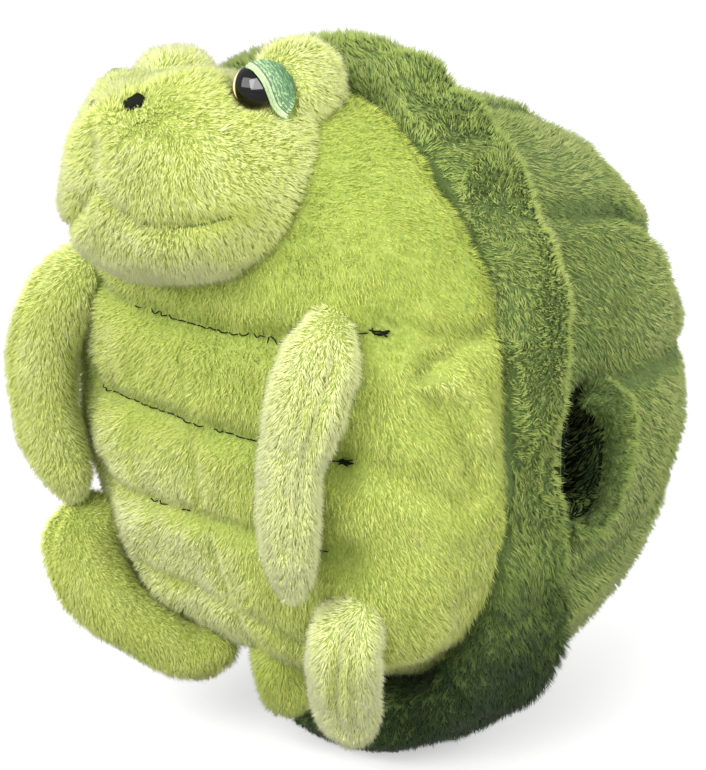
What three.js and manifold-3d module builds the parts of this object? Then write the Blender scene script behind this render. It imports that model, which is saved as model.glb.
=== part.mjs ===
// Plush turtle hand warmer: stuffed head, belly body, four flippers, tail, quilted shell, padded shell
// rim and a lined hand tunnel. Millimetres, +Z up, belly towards -Y, the turtle's left towards +X.
import * as THREE from 'three';
import { mergeVertices } from 'three/addons/utils/BufferGeometryUtils.js';
import Module from 'manifold-3d';

const wasm = await Module();
wasm.setup();

// Driving dimensions of the whole toy
const shellHeight = 346;
const shellWidth = 270;
const shellDepth = 180;
const shellPower = 2.25;
const bodyWidth = 268;
const bodyHeight = 284;
const bellyDepth = 117;
const torsoForward = 11;
const torsoLean = 9;
const fabricGap = 0.3;
const standCut = 1.2;

// Rim: a padded roll sewn round the seam between belly and shell
const rimThickness = 38;
const rimRoll = 54;
const rimForward = 15;
const rimFootRoll = 84;
const rimFootForward = 0;
const rimPocketPinch = 11;
const rimFootSharpness = 6;
const rimPocketSharpness = 10;
const rimSquareShare = 0.78;
const rimFootSquareShare = 0.5;

// Shell dome
const shellInset = 16;
const shellTopShare = 0.94;
const shellQuiltDepth = 5.5;
const shellQuiltWidth = 9;
const shellQuiltDegrees = [6, 40, 74, 106, 140, 174, 208, 240, 270, 300, 332];
const quiltFadeShare = 0.16;
const shellQuiltRingShare = 0.62;

// Body cushion
const bellySwell = 48;
const bodySquare = 2.35;
const bellyBackRun = 110;
const bellyPower = 2.4;
const waistPinchShare = 0.24;
const bellyRise = 18;
const waistDrop = 6;
const quiltDepth = 3.5;
const quiltWidth = 9;
const threadWidth = 1.6;
const quiltLineHeightShares = [0.135, -0.035, -0.2];
const quiltLineReachShares = [0.8, 0.7, 0.6];
const seamTopShare = 0.32;
const seamBottomShare = -0.42;

// Hand tunnel through the shell, open on both sides
const tunnelBreadth = 31;
const tunnelHeight = 64;
const tunnelBehindSeam = 4;
const tunnelDrop = 12;
const liningWall = 2.3;
const slotSquareShare = 0.6;
const cuffTube = 11;
const cuffLean = 5;
const cuffSweepDegrees = 108;

// Head
const headWidth = 129;
const headLength = 116;
const headHeight = 92;
const headForward = 113;
const headRaise = 291;
const headRoll = 7;
const lumpPower = 2.3;
const muzzleWidth = 104;
const muzzleLength = 72;
const muzzleHeight = 78;
const muzzleForward = 134;
const muzzleRaise = 297;
const browWidth = 42;
const browSpacing = 88;
const browForward = 88;
const browRaise = 328;

// Eyes: domed plastic discs on shanks, held by washers inside the head
const eyeWidth = 19;
const eyeDome = 7;
const eyeSpacing = 98;
const eyeForward = 115;
const eyeRaise = 329;
const eyeOutShare = 0.72;
const eyeAheadShare = 0.66;
const eyeUpShare = 0.2;
const shankWidth = 4.4;
const shankLength = 12;
const washerWidth = 14;
const washerThickness = 2;
const lidWidth = 9;
const lidThickness = 3;
const lidLift = 1.5;
const lidSweepDegrees = 165;
const lidTurnDegrees = 80;
const lidDishShare = 0.12;
const lidTipShare = 0.06;
const lidThinShare = 0.5;

// Nostrils and mouth, worked in thick thread
const nostrilWidth = 10;
const nostrilThickness = 2.4;
const nostrilSpacing = 42;
const nostrilRaise = 328;
const nostrilHeightShare = 0.7;
const nostrilLean = 40;
const mouthThread = 2;
const mouthHalfWidth = 60;
const mouthRaise = 275.5;
const mouthPeak = 18;
const mouthPeakShare = 0.28;
const mouthCurl = 4;
const mouthCurlPower = 6;

// Limbs: half width, then depth as a share of it
const limbEndPower = 5;
const limbEndShare = 0.004;
const armHalfWidth = 19;
const armDepthShare = 0.86;
const flipperHalfWidth = 19;
const flipperDepthShare = 0.8;
const tailHalfWidth = 17;
const tailDepthShare = 0.85;
const tailForward = 72;
const tailTop = 70;
const tailDrop = 40;

// Sewn-in label
const labelLength = 15;
const labelWidth = 13;
const labelThickness = 1;
const labelOut = 88;
const labelRaise = 78;
const labelTurn = 35;

// Sewn hinges: where each limb swings, about which axis, and how far
const hinges = {
  head: { x: 0, forward: 64, raise: 334, axis: [-1, 0, 0], degrees: [7.5, 15] },
  arm_left: { x: 82, forward: 112, raise: 245, axis: [0, -1, 0], degrees: [15, 30, 45, 60] },
  arm_right: { x: -84, forward: 112, raise: 245, axis: [0, 1, 0], degrees: [15, 30, 45, 60] },
  hind_flipper_left: { x: 82, forward: 98, raise: 80, axis: [0, 0, 1], degrees: [10, 20, 30] },
  hind_flipper_right: { x: -94, forward: 103, raise: 80, axis: [0, 0, -1], degrees: [10, 20, 30] },
  tail: { x: 0, forward: 72, raise: 68, axis: [0, 1, 0], degrees: [-15, -7.5, 7.5, 15] },
};

// Faceting
const facets = {
  body: 38,
  bodyRings: 12,
  waistRings: 3,
  dome: 40,
  domeRings: 11,
  rim: 48,
  rimSection: 12,
  limb: 14,
  limbRings: 12,
  head: 24,
  brow: 14,
  eye: 28,
  eyeRings: 7,
  washer: 24,
  lid: 14,
  lidSides: 8,
  nostril: 12,
  thread: 16,
  threadSides: 6,
  threadPlaces: 5,
  slot: 28,
  cuff: 8,
  halvings: 40,
};

const overrun = shellHeight;
const midHeight = shellHeight / 2;
const degree = Math.PI / 180;
const fullTurn = 2 * Math.PI;
const quarterTurn = Math.PI / 2;
const point = (x, y, z) => new THREE.Vector3(x, y, z);
const smooth = (t) => t * t * (3 - 2 * t);
const squared = (value, power) => Math.sign(value) * Math.abs(value) ** power;
const bell = (distance, width) => Math.exp(-((distance / width) ** 2));

// Colours and finishes
const cloth = (color) => new THREE.MeshStandardMaterial({ color, roughness: 0.95, metalness: 0 });
const finish = {
  lightPlush: () => cloth('#b4ca62'),
  darkPlush: () => cloth('#6a8b4c'),
  lining: () => cloth('#3d5a2b'),
  lidThread: () => cloth('#7fb27a'),
  darkThread: () => cloth('#26331a'),
  labelTape: () => cloth('#f2f2ee'),
  eyeGloss: () => new THREE.MeshStandardMaterial({ color: '#0c0b09', roughness: 0.08, metalness: 0 }),
  washerPlastic: () => new THREE.MeshStandardMaterial({ color: '#d9d9d2', roughness: 0.5, metalness: 0 }),
};

// A closed skin through rings of points, ended by centre points or joined into a loop
function skin(rings, looped = false) {
  const count = rings[0].length;
  const positions = rings.flat().flatMap((p) => [p.x, p.y, p.z]);
  const faces = [];
  const rows = looped ? rings.length : rings.length - 1;
  for (let i = 0; i < rows; i += 1) {
    const next = (i + 1) % rings.length;
    for (let j = 0; j < count; j += 1) {
      const k = (j + 1) % count;
      const [a, b, c, d] = [i * count + j, i * count + k, next * count + k, next * count + j];
      faces.push(a, b, c, a, c, d);
    }
  }
  if (!looped) {
    for (const [row, flip] of [[0, true], [rings.length - 1, false]]) {
      const centre = rings[row].reduce((sum, p) => sum.add(p), point(0, 0, 0)).divideScalar(count);
      const index = positions.length / 3;
      positions.push(centre.x, centre.y, centre.z);
      for (let j = 0; j < count; j += 1) {
        const a = row * count + j;
        const b = row * count + (j + 1) % count;
        faces.push(...(flip ? [index, b, a] : [index, a, b]));
      }
    }
  }
  const geometry = new THREE.BufferGeometry();
  geometry.setAttribute('position', new THREE.Float32BufferAttribute(positions, 3));
  geometry.setIndex(faces);
  return outward(geometry);
}

// Turns the faces out if the signed volume is negative
function outward(geometry) {
  const p = geometry.attributes.position;
  const index = geometry.index.array;
  const [a, b, c] = [point(0, 0, 0), point(0, 0, 0), point(0, 0, 0)];
  let volume = 0;
  for (let i = 0; i < index.length; i += 3) {
    a.fromBufferAttribute(p, index[i]);
    b.fromBufferAttribute(p, index[i + 1]);
    c.fromBufferAttribute(p, index[i + 2]);
    volume += a.dot(b.cross(c));
  }
  if (volume < 0) {
    for (let i = 0; i < index.length; i += 3) {
      [index[i], index[i + 1]] = [index[i + 1], index[i]];
    }
  }
  geometry.computeVertexNormals();
  return geometry;
}

function toSolid(source) {
  const bare = source.clone();
  bare.deleteAttribute('normal');
  bare.deleteAttribute('uv');
  const merged = mergeVertices(bare);
  return new wasm.Manifold(new wasm.Mesh({
    numProp: 3,
    vertProperties: new Float32Array(merged.attributes.position.array),
    triVerts: new Uint32Array(merged.index.array),
  }));
}

function toGeometry(solid) {
  const mesh = solid.getMesh();
  const geometry = new THREE.BufferGeometry();
  geometry.setAttribute('position', new THREE.Float32BufferAttribute(mesh.vertProperties, 3));
  geometry.setIndex(Array.from(mesh.triVerts));
  geometry.computeVertexNormals();
  return geometry;
}

const cut = (geometry, ...tools) => toGeometry(
  tools.reduce((solid, tool) => solid.subtract(toSolid(tool)), toSolid(geometry)),
);
const join = (...geometries) => toGeometry(
  geometries.slice(1).reduce((solid, other) => solid.add(toSolid(other)), toSolid(geometries[0])),
);
const keepWithin = (geometry, tool) => toGeometry(toSolid(geometry).intersect(toSolid(tool)));

// Where a hinge takes the still pieces, seen from the piece that swings on it
function swungBack(geometry, hinge) {
  return hinge.degrees.map((turn) => {
    const rotation = new THREE.Matrix4().makeRotationAxis(point(...hinge.axis), -turn * degree);
    return geometry.clone()
      .translate(-hinge.x, hinge.forward, -hinge.raise)
      .applyMatrix4(rotation)
      .translate(hinge.x, -hinge.forward, hinge.raise);
  });
}


// The whole torso leans: its top further forward than its foot
const leanAt = (z) => -torsoForward - torsoLean * (z - midHeight) / midHeight;

// Belly body: widest a little in front of the seam, rising towards the front, flat at the seam plane
function bodySection(y, grow) {
  const ahead = -y > bellySwell;
  const run = (ahead ? bellyDepth - bellySwell : bellyBackRun) + grow;
  const share = Math.max(0, 1 - Math.abs((y + bellySwell) / run) ** bellyPower) ** (1 / bellyPower);
  const waist = ahead ? 1 : 1 - waistPinchShare * (1 + y / bellySwell);
  const rise = (bellyRise + waistDrop) * Math.min(1, -y / bellySwell) - waistDrop;
  return {
    halfX: (bodyWidth / 2 + grow) * share * waist,
    halfZ: (bodyHeight / 2 + grow) * share,
    z: midHeight + rise,
  };
}

const bodyCentre = midHeight + bellyRise;
const quiltLines = quiltLineHeightShares.map((share, i) => ({
  z: bodyCentre + share * bodyHeight,
  reach: quiltLineReachShares[i] * bodyWidth / 2,
}));

// How far the sewn lines draw the belly in at a place seen from the front
function bellyDraw(x, z) {
  let draw = 0;
  for (const line of quiltLines) {
    const past = Math.max(0, Math.abs(x) - line.reach);
    draw = Math.max(draw, bell(z - line.z, quiltWidth) * bell(past, quiltWidth));
  }
  const fromCentre = (z - bodyCentre) / bodyHeight;
  const above = Math.max(0, fromCentre - seamTopShare, seamBottomShare - fromCentre) * bodyHeight;
  return quiltDepth * Math.max(draw, bell(x, quiltWidth) * bell(above, quiltWidth));
}

function bodyForm(grow = 0, sewn = true) {
  const rings = [];
  const places = [];
  for (let i = 1; i <= facets.bodyRings; i += 1) {
    const turn = (i / facets.bodyRings) * quarterTurn;
    places.push(-bellySwell - (bellyDepth - bellySwell + grow) * Math.cos(turn));
  }
  for (let i = facets.waistRings - 1; i > 0; i -= 1) places.push(-bellySwell * i / facets.waistRings);
  places.push(grow);
  for (const y of places) {
    const section = bodySection(y, grow);
    const ring = [];
    for (let j = 0; j < facets.body; j += 1) {
      const angle = (j / facets.body) * fullTurn;
      const x = section.halfX * squared(Math.cos(angle), 2 / bodySquare);
      const z = section.z + section.halfZ * squared(Math.sin(angle), 2 / bodySquare);
      const front = smooth(Math.min(1, Math.max(0, (-y - bellySwell) / bellySwell)));
      ring.push(point(x, y + leanAt(z) + (sewn ? bellyDraw(x, z) * front : 0), z));
    }
    rings.push(ring);
  }
  return skin(rings);
}

// Depth of the belly's surface at a place seen from the front, found by halving
function bellySurface(x, z) {
  let [near, far] = [-bellyDepth, -bellySwell];
  for (let i = 0; i < facets.halvings; i += 1) {
    const y = (near + far) / 2;
    const section = bodySection(y, 0);
    const [across, up] = [Math.abs(x) / section.halfX, Math.abs(z - section.z) / section.halfZ];
    const inside = across ** bodySquare + up ** bodySquare < 1;
    if (inside) far = y;
    else near = y;
  }
  return near + leanAt(z) + bellyDraw(x, z);
}

const tunnelZ = midHeight - tunnelDrop;
const tunnelY = leanAt(tunnelZ) + tunnelBehindSeam + tunnelBreadth / 2;

// Shell dome: half an egg behind the seam plane, drawn in along its quilting
const domeHalfWidth = shellWidth / 2 - shellInset;
const domeHalfHeight = shellHeight / 2 - shellInset;
const quiltShares = shellQuiltDegrees.map((line) => line * degree / fullTurn);

// The dome's own points are moved onto the nearest quilting line
function onto(share, lines, count) {
  return lines.find((line) => Math.abs(line - share) < 1 / (2 * count)) ?? share;
}

function domeForm(grow = 0, sewn = true) {
  const rings = [];
  for (let i = 0; i < facets.domeRings; i += 1) {
    const lift = onto(i / facets.domeRings, [shellQuiltRingShare], facets.domeRings) * quarterTurn;
    const ring = [];
    for (let j = 0; j < facets.dome; j += 1) {
      const angle = onto(j / facets.dome, quiltShares, facets.dome) * fullTurn;
      const reach = Math.cos(lift);
      const around = Math.min(...shellQuiltDegrees.map((line) => {
        const turn = Math.abs(angle - line * degree) % fullTurn;
        return Math.min(turn, fullTurn - turn) * reach * domeHalfWidth;
      }));
      const along = Math.abs(lift - shellQuiltRingShare * quarterTurn) * shellDepth;
      const onSide = sewn ? smooth(Math.min(1, lift / (quiltFadeShare * quarterTurn))) : 0;
      const line = Math.max(bell(around, shellQuiltWidth), bell(along, shellQuiltWidth));
      const draw = shellQuiltDepth * onSide * line;
      const inset = grow - draw;
      const half = (domeHalfHeight + inset) * (angle < Math.PI ? shellTopShare : 1);
      const z = midHeight + half * reach * squared(Math.sin(angle), 2 / shellPower);
      const y = i ? fabricGap + (shellDepth + inset) * Math.sin(lift) : fabricGap - grow;
      const x = (domeHalfWidth + inset) * reach * squared(Math.cos(angle), 2 / shellPower);
      ring.push(point(x, y + leanAt(z), z));
    }
    rings.push(ring);
  }
  return skin(rings);
}

// Rim: a squashed roll round the seam, broader at its foot and pinched beside the tunnel mouths
function rimForm() {
  const rings = [];
  for (let i = 0; i < facets.rim; i += 1) {
    const angle = (i / facets.rim) * fullTurn;
    const foot = Math.max(0, -Math.sin(angle)) ** rimFootSharpness;
    const beside = Math.abs(Math.cos(angle)) ** rimPocketSharpness;
    const square = THREE.MathUtils.lerp(rimSquareShare, rimFootSquareShare, foot);
    const acrossShare = squared(Math.cos(angle), 2 / shellPower);
    const upShare = squared(Math.sin(angle), 2 / shellPower);
    const halfRoll = (rimRoll + (rimFootRoll - rimRoll) * foot - rimPocketPinch * beside) / 2;
    const middle = -rimForward - rimFootForward * foot - rimPocketPinch * beside / 2;
    const out = point(
      squared(acrossShare, shellPower - 1) / shellWidth,
      0,
      squared(upShare, shellPower - 1) / shellHeight,
    ).normalize();
    const ring = [];
    for (let j = 0; j < facets.rimSection; j += 1) {
      const turn = (j / facets.rimSection) * fullTurn + Math.PI / facets.rimSection;
      const inward = (1 - squared(Math.cos(turn), square)) * rimThickness / 2;
      const z = midHeight - standCut + upShare * midHeight - out.z * inward;
      const y = middle + squared(Math.sin(turn), square) * halfRoll + leanAt(z);
      ring.push(point(acrossShare * shellWidth / 2 - out.x * inward, y, z));
    }
    rings.push(ring);
  }
  return skin(rings, true);
}

// A stuffed limb: rounded ends, swelling and tapering round a curved middle line
function limb(spine, halfWidth, depthShare, swellShares, grow = 0) {
  const path = new THREE.CatmullRomCurve3(spine);
  const rings = [];
  for (let i = 0; i <= facets.limbRings; i += 1) {
    const t = (1 - Math.cos((i / facets.limbRings) * Math.PI)) / 2;
    const along = Math.min(Math.max(t, limbEndShare), 1 - limbEndShare);
    const place = path.getPointAt(along);
    const ahead = path.getTangentAt(along);
    const side = point(1, 0, 0).addScaledVector(ahead, -ahead.x).normalize();
    const front = ahead.clone().cross(side);
    const round = Math.sqrt(1 - Math.abs(2 * along - 1) ** limbEndPower);
    const at = along * (swellShares.length - 1);
    const low = Math.min(Math.floor(at), swellShares.length - 2);
    const swell = THREE.MathUtils.lerp(swellShares[low], swellShares[low + 1], at - low);
    const ring = [];
    for (let j = 0; j < facets.limb; j += 1) {
      const angle = (j / facets.limb) * fullTurn;
      ring.push(place.clone()
        .addScaledVector(side, (halfWidth * swell * round + grow) * Math.cos(angle))
        .addScaledVector(front, (halfWidth * depthShare * swell * round + grow) * Math.sin(angle)));
    }
    rings.push(ring);
  }
  return skin(rings);
}

// Middle lines as shares of half the body's width, the belly's depth and the shell's height
function spineOf(shares) {
  return shares.map(([x, y, z]) => point(x * bodyWidth / 2, y * bellyDepth, z * shellHeight));
}
const armLeftSpineShares = [
  [0.63, -0.926, 0.714],
  [0.678, -1.055, 0.632],
  [0.65, -1.109, 0.54],
  [0.611, -1.12, 0.448],
  [0.564, -1.098, 0.345],
];
const armRightSpineShares = [
  [-0.611, -0.905, 0.714],
  [-0.755, -1.034, 0.642],
  [-0.821, -1.098, 0.55],
  [-0.802, -1.098, 0.45],
  [-0.688, -1.055, 0.356],
];
const flipperLeftSpineShares = [
  [0.63, -0.797, 0.336],
  [0.601, -0.894, 0.274],
  [0.534, -0.851, 0.194],
  [0.448, -0.732, 0.105],
];
const flipperRightSpineShares = [
  [-0.707, -0.862, 0.341],
  [-0.745, -1.023, 0.276],
  [-0.63, -1.012, 0.192],
  [-0.42, -0.84, 0.141],
  [-0.248, -0.668, 0.141],
];
const armSwellShares = [0.62, 1.02, 1.05, 0.96, 0.9, 0.78, 0.6];
const flipperSwellShares = [0.7, 1, 1.04, 1, 0.96, 0.8];
const tailSwellShares = [0.9, 1, 1, 0.85];

const tailSpine = [
  point(0, -tailForward, tailTop),
  point(0, -tailForward - tailHalfWidth / 4, tailTop - tailDrop / 2),
  point(0, -tailForward, tailTop - tailDrop),
];

// An egg-shaped lump with slightly squared sides
function lump(width, length, height, forward, raise, side = 0, count = facets.head) {
  const geometry = new THREE.SphereGeometry(1, count, count / 2);
  const place = geometry.attributes.position;
  for (let i = 0; i < place.count; i += 1) {
    const p = point(0, 0, 0).fromBufferAttribute(place, i);
    const reach = p.toArray().reduce((sum, value) => sum + Math.abs(value) ** lumpPower, 0);
    p.divideScalar(reach ** (1 / lumpPower));
    place.setXYZ(i, side + p.x * width / 2, -forward + p.z * length / 2, raise + p.y * height / 2);
  }
  geometry.deleteAttribute('uv');
  geometry.deleteAttribute('normal');
  return outward(mergeVertices(geometry));
}

// Each eye's frame: +Z looks out of the head along the eye's axis
function eyeFrame(side) {
  const facing = point(side * eyeOutShare, -eyeAheadShare, eyeUpShare).normalize();
  const frame = new THREE.Group();
  frame.position.set(side * eyeSpacing / 2, -eyeForward, eyeRaise - headRaise);
  frame.quaternion.setFromUnitVectors(point(0, 0, 1), facing);
  const roll = new THREE.Quaternion().setFromAxisAngle(point(0, 1, 0), -headRoll * degree);
  frame.quaternion.premultiply(roll);
  frame.position.applyQuaternion(roll);
  frame.position.z += headRaise;
  frame.updateMatrixWorld();
  return frame;
}

const inFrame = (geometry, frame) => geometry.clone().applyMatrix4(frame.matrixWorld);

function lathe(profile, segments) {
  const geometry = new THREE.LatheGeometry(profile, segments).rotateX(Math.PI / 2);
  geometry.deleteAttribute('uv');
  geometry.deleteAttribute('normal');
  return outward(mergeVertices(geometry));
}

function eyeForm() {
  const half = eyeWidth / 2;
  const profile = [new THREE.Vector2(0, -shankLength), new THREE.Vector2(shankWidth / 2, -shankLength)];
  profile.push(new THREE.Vector2(shankWidth / 2, 0), new THREE.Vector2(half, 0));
  for (let i = 1; i < facets.eyeRings; i += 1) {
    const turn = (i / facets.eyeRings) * quarterTurn;
    profile.push(new THREE.Vector2(half * Math.cos(turn), eyeDome * Math.sin(turn)));
  }
  profile.push(new THREE.Vector2(0, eyeDome));
  return lathe(profile, facets.eye);
}

function plug(width, low, high) {
  const half = width / 2;
  const corners = [[0, low], [half, low], [half, high], [0, high]];
  return lathe(corners.map(([r, z]) => new THREE.Vector2(r, z)), facets.washer);
}

function washerForm() {
  const [inner, outer] = [shankWidth / 2 + fabricGap, washerWidth / 2];
  const low = -shankLength + washerThickness / 2;
  const high = low + washerThickness;
  const corners = [[inner, low], [outer, low], [outer, high], [inner, high], [inner, low]];
  return lathe(corners.map(([r, z]) => new THREE.Vector2(r, z)), facets.washer);
}

// The space that the eye, its shank and its washer take in the head
function eyeSeat(frame) {
  const low = -shankLength + washerThickness / 2;
  const seat = plug(eyeWidth + 2 * fabricGap, -fabricGap, eyeWidth);
  const bore = plug(shankWidth + 2 * fabricGap, -shankLength - fabricGap, 0);
  const pocket = plug(washerWidth + 2 * fabricGap, low - fabricGap, low + washerThickness + fabricGap);
  return [seat, bore, pocket].map((tool) => inFrame(tool, frame));
}

// Eyelid: a padded crescent round the back and top of the eye
function lidForm(side, grow = 0) {
  const rings = [];
  const sweep = lidSweepDegrees * degree;
  const middle = side > 0 ? lidTurnDegrees * degree : Math.PI - lidTurnDegrees * degree;
  for (let i = 0; i <= facets.lid; i += 1) {
    const t = i / facets.lid;
    const angle = middle + (t - 1 / 2) * sweep;
    const narrow = Math.sin(Math.PI * THREE.MathUtils.lerp(lidTipShare, 1 - lidTipShare, t));
    const thick = (lidThickness / 2 + grow) * THREE.MathUtils.lerp(lidThinShare, 1, narrow);
    const out = point(Math.cos(angle), Math.sin(angle), 0);
    const half = lidWidth * narrow / 2 + grow;
    const centre = out.clone().multiplyScalar(eyeWidth / 2 + 2 * fabricGap + lidWidth * narrow / 2);
    centre.z = lidLift - centre.length() * lidDishShare;
    const ring = [];
    for (let j = 0; j < facets.lidSides; j += 1) {
      const turn = ((j + 1 / 2) / facets.lidSides) * fullTurn;
      ring.push(centre.clone()
        .addScaledVector(out, half * Math.cos(turn))
        .add(point(0, 0, thick * Math.sin(turn))));
    }
    rings.push(ring);
  }
  return skin(rings);
}

// Depth of the face's surface at a place seen from the front
function faceSurface(x, z) {
  const lumps = [
    [headWidth, headLength, headHeight, headForward, headRaise],
    [muzzleWidth, muzzleLength, muzzleHeight, muzzleForward, muzzleRaise],
  ];
  const depths = lumps.map(([width, length, height, forward, raise]) => {
    const left = 1 - Math.abs(2 * x / width) ** lumpPower - Math.abs(2 * (z - raise) / height) ** lumpPower;
    return left > 0 ? -forward - (left ** (1 / lumpPower)) * length / 2 : 0;
  });
  return Math.min(...depths);
}

// Nostril: a small sewn oval lying in the top of the muzzle
function nostrilForm(side, grow = 0) {
  const wide = nostrilWidth + 2 * grow;
  const high = nostrilWidth * nostrilHeightShare + 2 * grow;
  const geometry = lump(wide, nostrilThickness + 2 * grow, high, 0, 0, 0, facets.nostril);
  const frame = new THREE.Object3D();
  const across = side * nostrilSpacing / 2;
  frame.position.set(across, faceSurface(across, nostrilRaise), nostrilRaise);
  frame.rotation.x = -nostrilLean * degree;
  frame.updateMatrixWorld();
  return geometry.applyMatrix4(frame.matrixWorld);
}

// A run of thread through a row of places
function threadForm(places, width, grow = 0) {
  const path = new THREE.CatmullRomCurve3(places);
  const rings = [];
  for (let i = 0; i <= facets.thread; i += 1) {
    const ahead = path.getTangentAt(i / facets.thread);
    const up = point(0, 0, 1).addScaledVector(ahead, -ahead.z).normalize();
    const front = ahead.clone().cross(up);
    const place = path.getPointAt(i / facets.thread);
    const end = i === 0 || i === facets.thread ? Math.sign(i - 1) * grow : 0;
    const ring = [];
    for (let j = 0; j < facets.threadSides; j += 1) {
      const angle = (j / facets.threadSides) * fullTurn;
      ring.push(place.clone()
        .addScaledVector(ahead, end)
        .addScaledVector(up, (width / 2 + grow) * Math.cos(angle))
        .addScaledVector(front, (width / 2 + grow) * Math.sin(angle)));
    }
    rings.push(ring);
  }
  return skin(rings);
}

function quiltThreadForm(line, grow = 0) {
  const places = [];
  for (let i = -facets.threadPlaces; i <= facets.threadPlaces; i += 1) {
    const x = (i / facets.threadPlaces) * line.reach;
    places.push(point(x, bellySurface(x, line.z), line.z));
  }
  return threadForm(places, threadWidth, grow);
}

function mouthForm(grow = 0) {
  const places = [];
  for (let i = -facets.threadPlaces; i <= facets.threadPlaces; i += 1) {
    const share = i / facets.threadPlaces;
    const x = share * mouthHalfWidth;
    const peak = mouthPeak * bell(share, mouthPeakShare);
    const z = mouthRaise + peak + mouthCurl * Math.abs(share) ** mouthCurlPower;
    places.push(point(x, faceSurface(x, z), z));
  }
  return threadForm(places, mouthThread, grow);
}

// Hand tunnel: a rounded slot straight through the shell from side to side
function slotBar(breadth, height, length) {
  const shape = new THREE.Shape();
  for (let i = 0; i < facets.slot; i += 1) {
    const angle = (i / facets.slot) * fullTurn;
    const y = squared(Math.cos(angle), slotSquareShare) * breadth / 2;
    const z = squared(Math.sin(angle), slotSquareShare) * height / 2;
    if (i) shape.lineTo(y, z);
    else shape.moveTo(y, z);
  }
  shape.closePath();
  const geometry = new THREE.ExtrudeGeometry(shape, { depth: length, bevelEnabled: false, steps: 1 });
  geometry.translate(0, 0, -length / 2);
  geometry.applyMatrix4(new THREE.Matrix4().makeBasis(point(0, 1, 0), point(0, 0, 1), point(1, 0, 0)));
  return geometry.translate(0, tunnelY, tunnelZ);
}

// Gathered cuff: a padded arc round the rear of a tunnel mouth
function cuffForm(side) {
  const places = [];
  const sweep = cuffSweepDegrees * degree;
  for (let i = 0; i <= facets.cuff; i += 1) {
    const angle = -sweep + (i / facets.cuff) * 2 * sweep;
    const y = tunnelY + Math.cos(angle) * (tunnelBreadth + cuffTube) / 2;
    const z = tunnelZ + Math.sin(angle) * (tunnelHeight + cuffTube) / 2;
    const share = 1 - ((y - leanAt(z)) / shellDepth) ** 2 - ((z - midHeight) / domeHalfHeight) ** 2;
    places.push(point(side * (domeHalfWidth * Math.sqrt(share) + cuffLean - cuffTube / 4), y, z));
  }
  return threadForm(places, cuffTube);
}

// Label: a folded tape standing out of the seam under the right arm
function labelForm() {
  const geometry = new THREE.BoxGeometry(labelThickness, labelLength, labelWidth);
  const y = bellySurface(labelOut, labelRaise) - labelLength / 2 - labelThickness;
  return geometry.rotateZ(-labelTurn * degree).translate(-labelOut, y, labelRaise);
}

// The head is rolled a little, its left side up
function rolled(geometry) {
  const turn = new THREE.Matrix4().makeRotationY(-headRoll * degree);
  return geometry.clone().translate(0, 0, -headRaise).applyMatrix4(turn).translate(0, 0, headRaise);
}

// Everything is cut by the larger piece beside it, a fabric gap away
const bodyCutter = bodyForm(fabricGap, false);
const domeCutter = domeForm(fabricGap, false);
const below = new THREE.BoxGeometry(overrun, overrun, overrun).translate(0, 0, -overrun / 2);
const eyeFrames = { left: eyeFrame(1), right: eyeFrame(-1) };
const lids = { left: lidForm(1), right: lidForm(-1) };

const turtle = new THREE.Group();
function place(name, geometry, material, frame) {
  const mesh = new THREE.Mesh(geometry, material);
  mesh.name = name;
  if (frame) {
    mesh.position.copy(frame.position);
    mesh.quaternion.copy(frame.quaternion);
  }
  turtle.add(mesh);
}

const headSolid = rolled(join(
  lump(headWidth, headLength, headHeight, headForward, headRaise),
  lump(muzzleWidth, muzzleLength, muzzleHeight, muzzleForward, muzzleRaise),
  lump(browWidth, browWidth, browWidth, browForward, browRaise, browSpacing / 2, facets.brow),
  lump(browWidth, browWidth, browWidth, browForward, browRaise, -browSpacing / 2, facets.brow),
));
place('head', cut(
  headSolid,
  bodyCutter,
  ...swungBack(bodyCutter, hinges.head),
  ...eyeSeat(eyeFrames.left),
  ...eyeSeat(eyeFrames.right),
  inFrame(lidForm(1, fabricGap), eyeFrames.left),
  inFrame(lidForm(-1, fabricGap), eyeFrames.right),
  rolled(nostrilForm(1, fabricGap)),
  rolled(nostrilForm(-1, fabricGap)),
  rolled(mouthForm(fabricGap)),
), finish.lightPlush());
for (const [name, side] of [['left', 1], ['right', -1]]) {
  place(`eye_${name}`, eyeForm(), finish.eyeGloss(), eyeFrames[name]);
  place(`eye_washer_${name}`, washerForm(), finish.washerPlastic(), eyeFrames[name]);
  place(`eyelid_${name}`, lids[name], finish.lidThread(), eyeFrames[name]);
  place(`nostril_${name}`, rolled(nostrilForm(side)), finish.darkThread());
}
place('mouth_thread', rolled(mouthForm()), finish.darkThread());

const threadCuts = quiltLines.map((line) => quiltThreadForm(line, fabricGap));
place('body', cut(bodyForm(), ...threadCuts), finish.lightPlush());
['upper', 'middle', 'lower'].forEach((name, i) => {
  place(`belly_thread_${name}`, quiltThreadForm(quiltLines[i]), finish.darkThread());
});

const arm = (shares) => limb(spineOf(shares), armHalfWidth, armDepthShare, armSwellShares);
const flipper = (shares) => limb(spineOf(shares), flipperHalfWidth, flipperDepthShare, flipperSwellShares);
const limbs = {
  arm_left: arm(armLeftSpineShares),
  arm_right: arm(armRightSpineShares),
  hind_flipper_left: flipper(flipperLeftSpineShares),
  hind_flipper_right: flipper(flipperRightSpineShares),
  tail: limb(tailSpine, tailHalfWidth, tailDepthShare, tailSwellShares),
};
for (const [name, geometry] of Object.entries(limbs)) {
  place(name, cut(geometry, bodyCutter, ...swungBack(bodyCutter, hinges[name])), finish.lightPlush());
}
place('care_label', cut(labelForm(), bodyCutter, limbs.hind_flipper_right), finish.labelTape());

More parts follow.
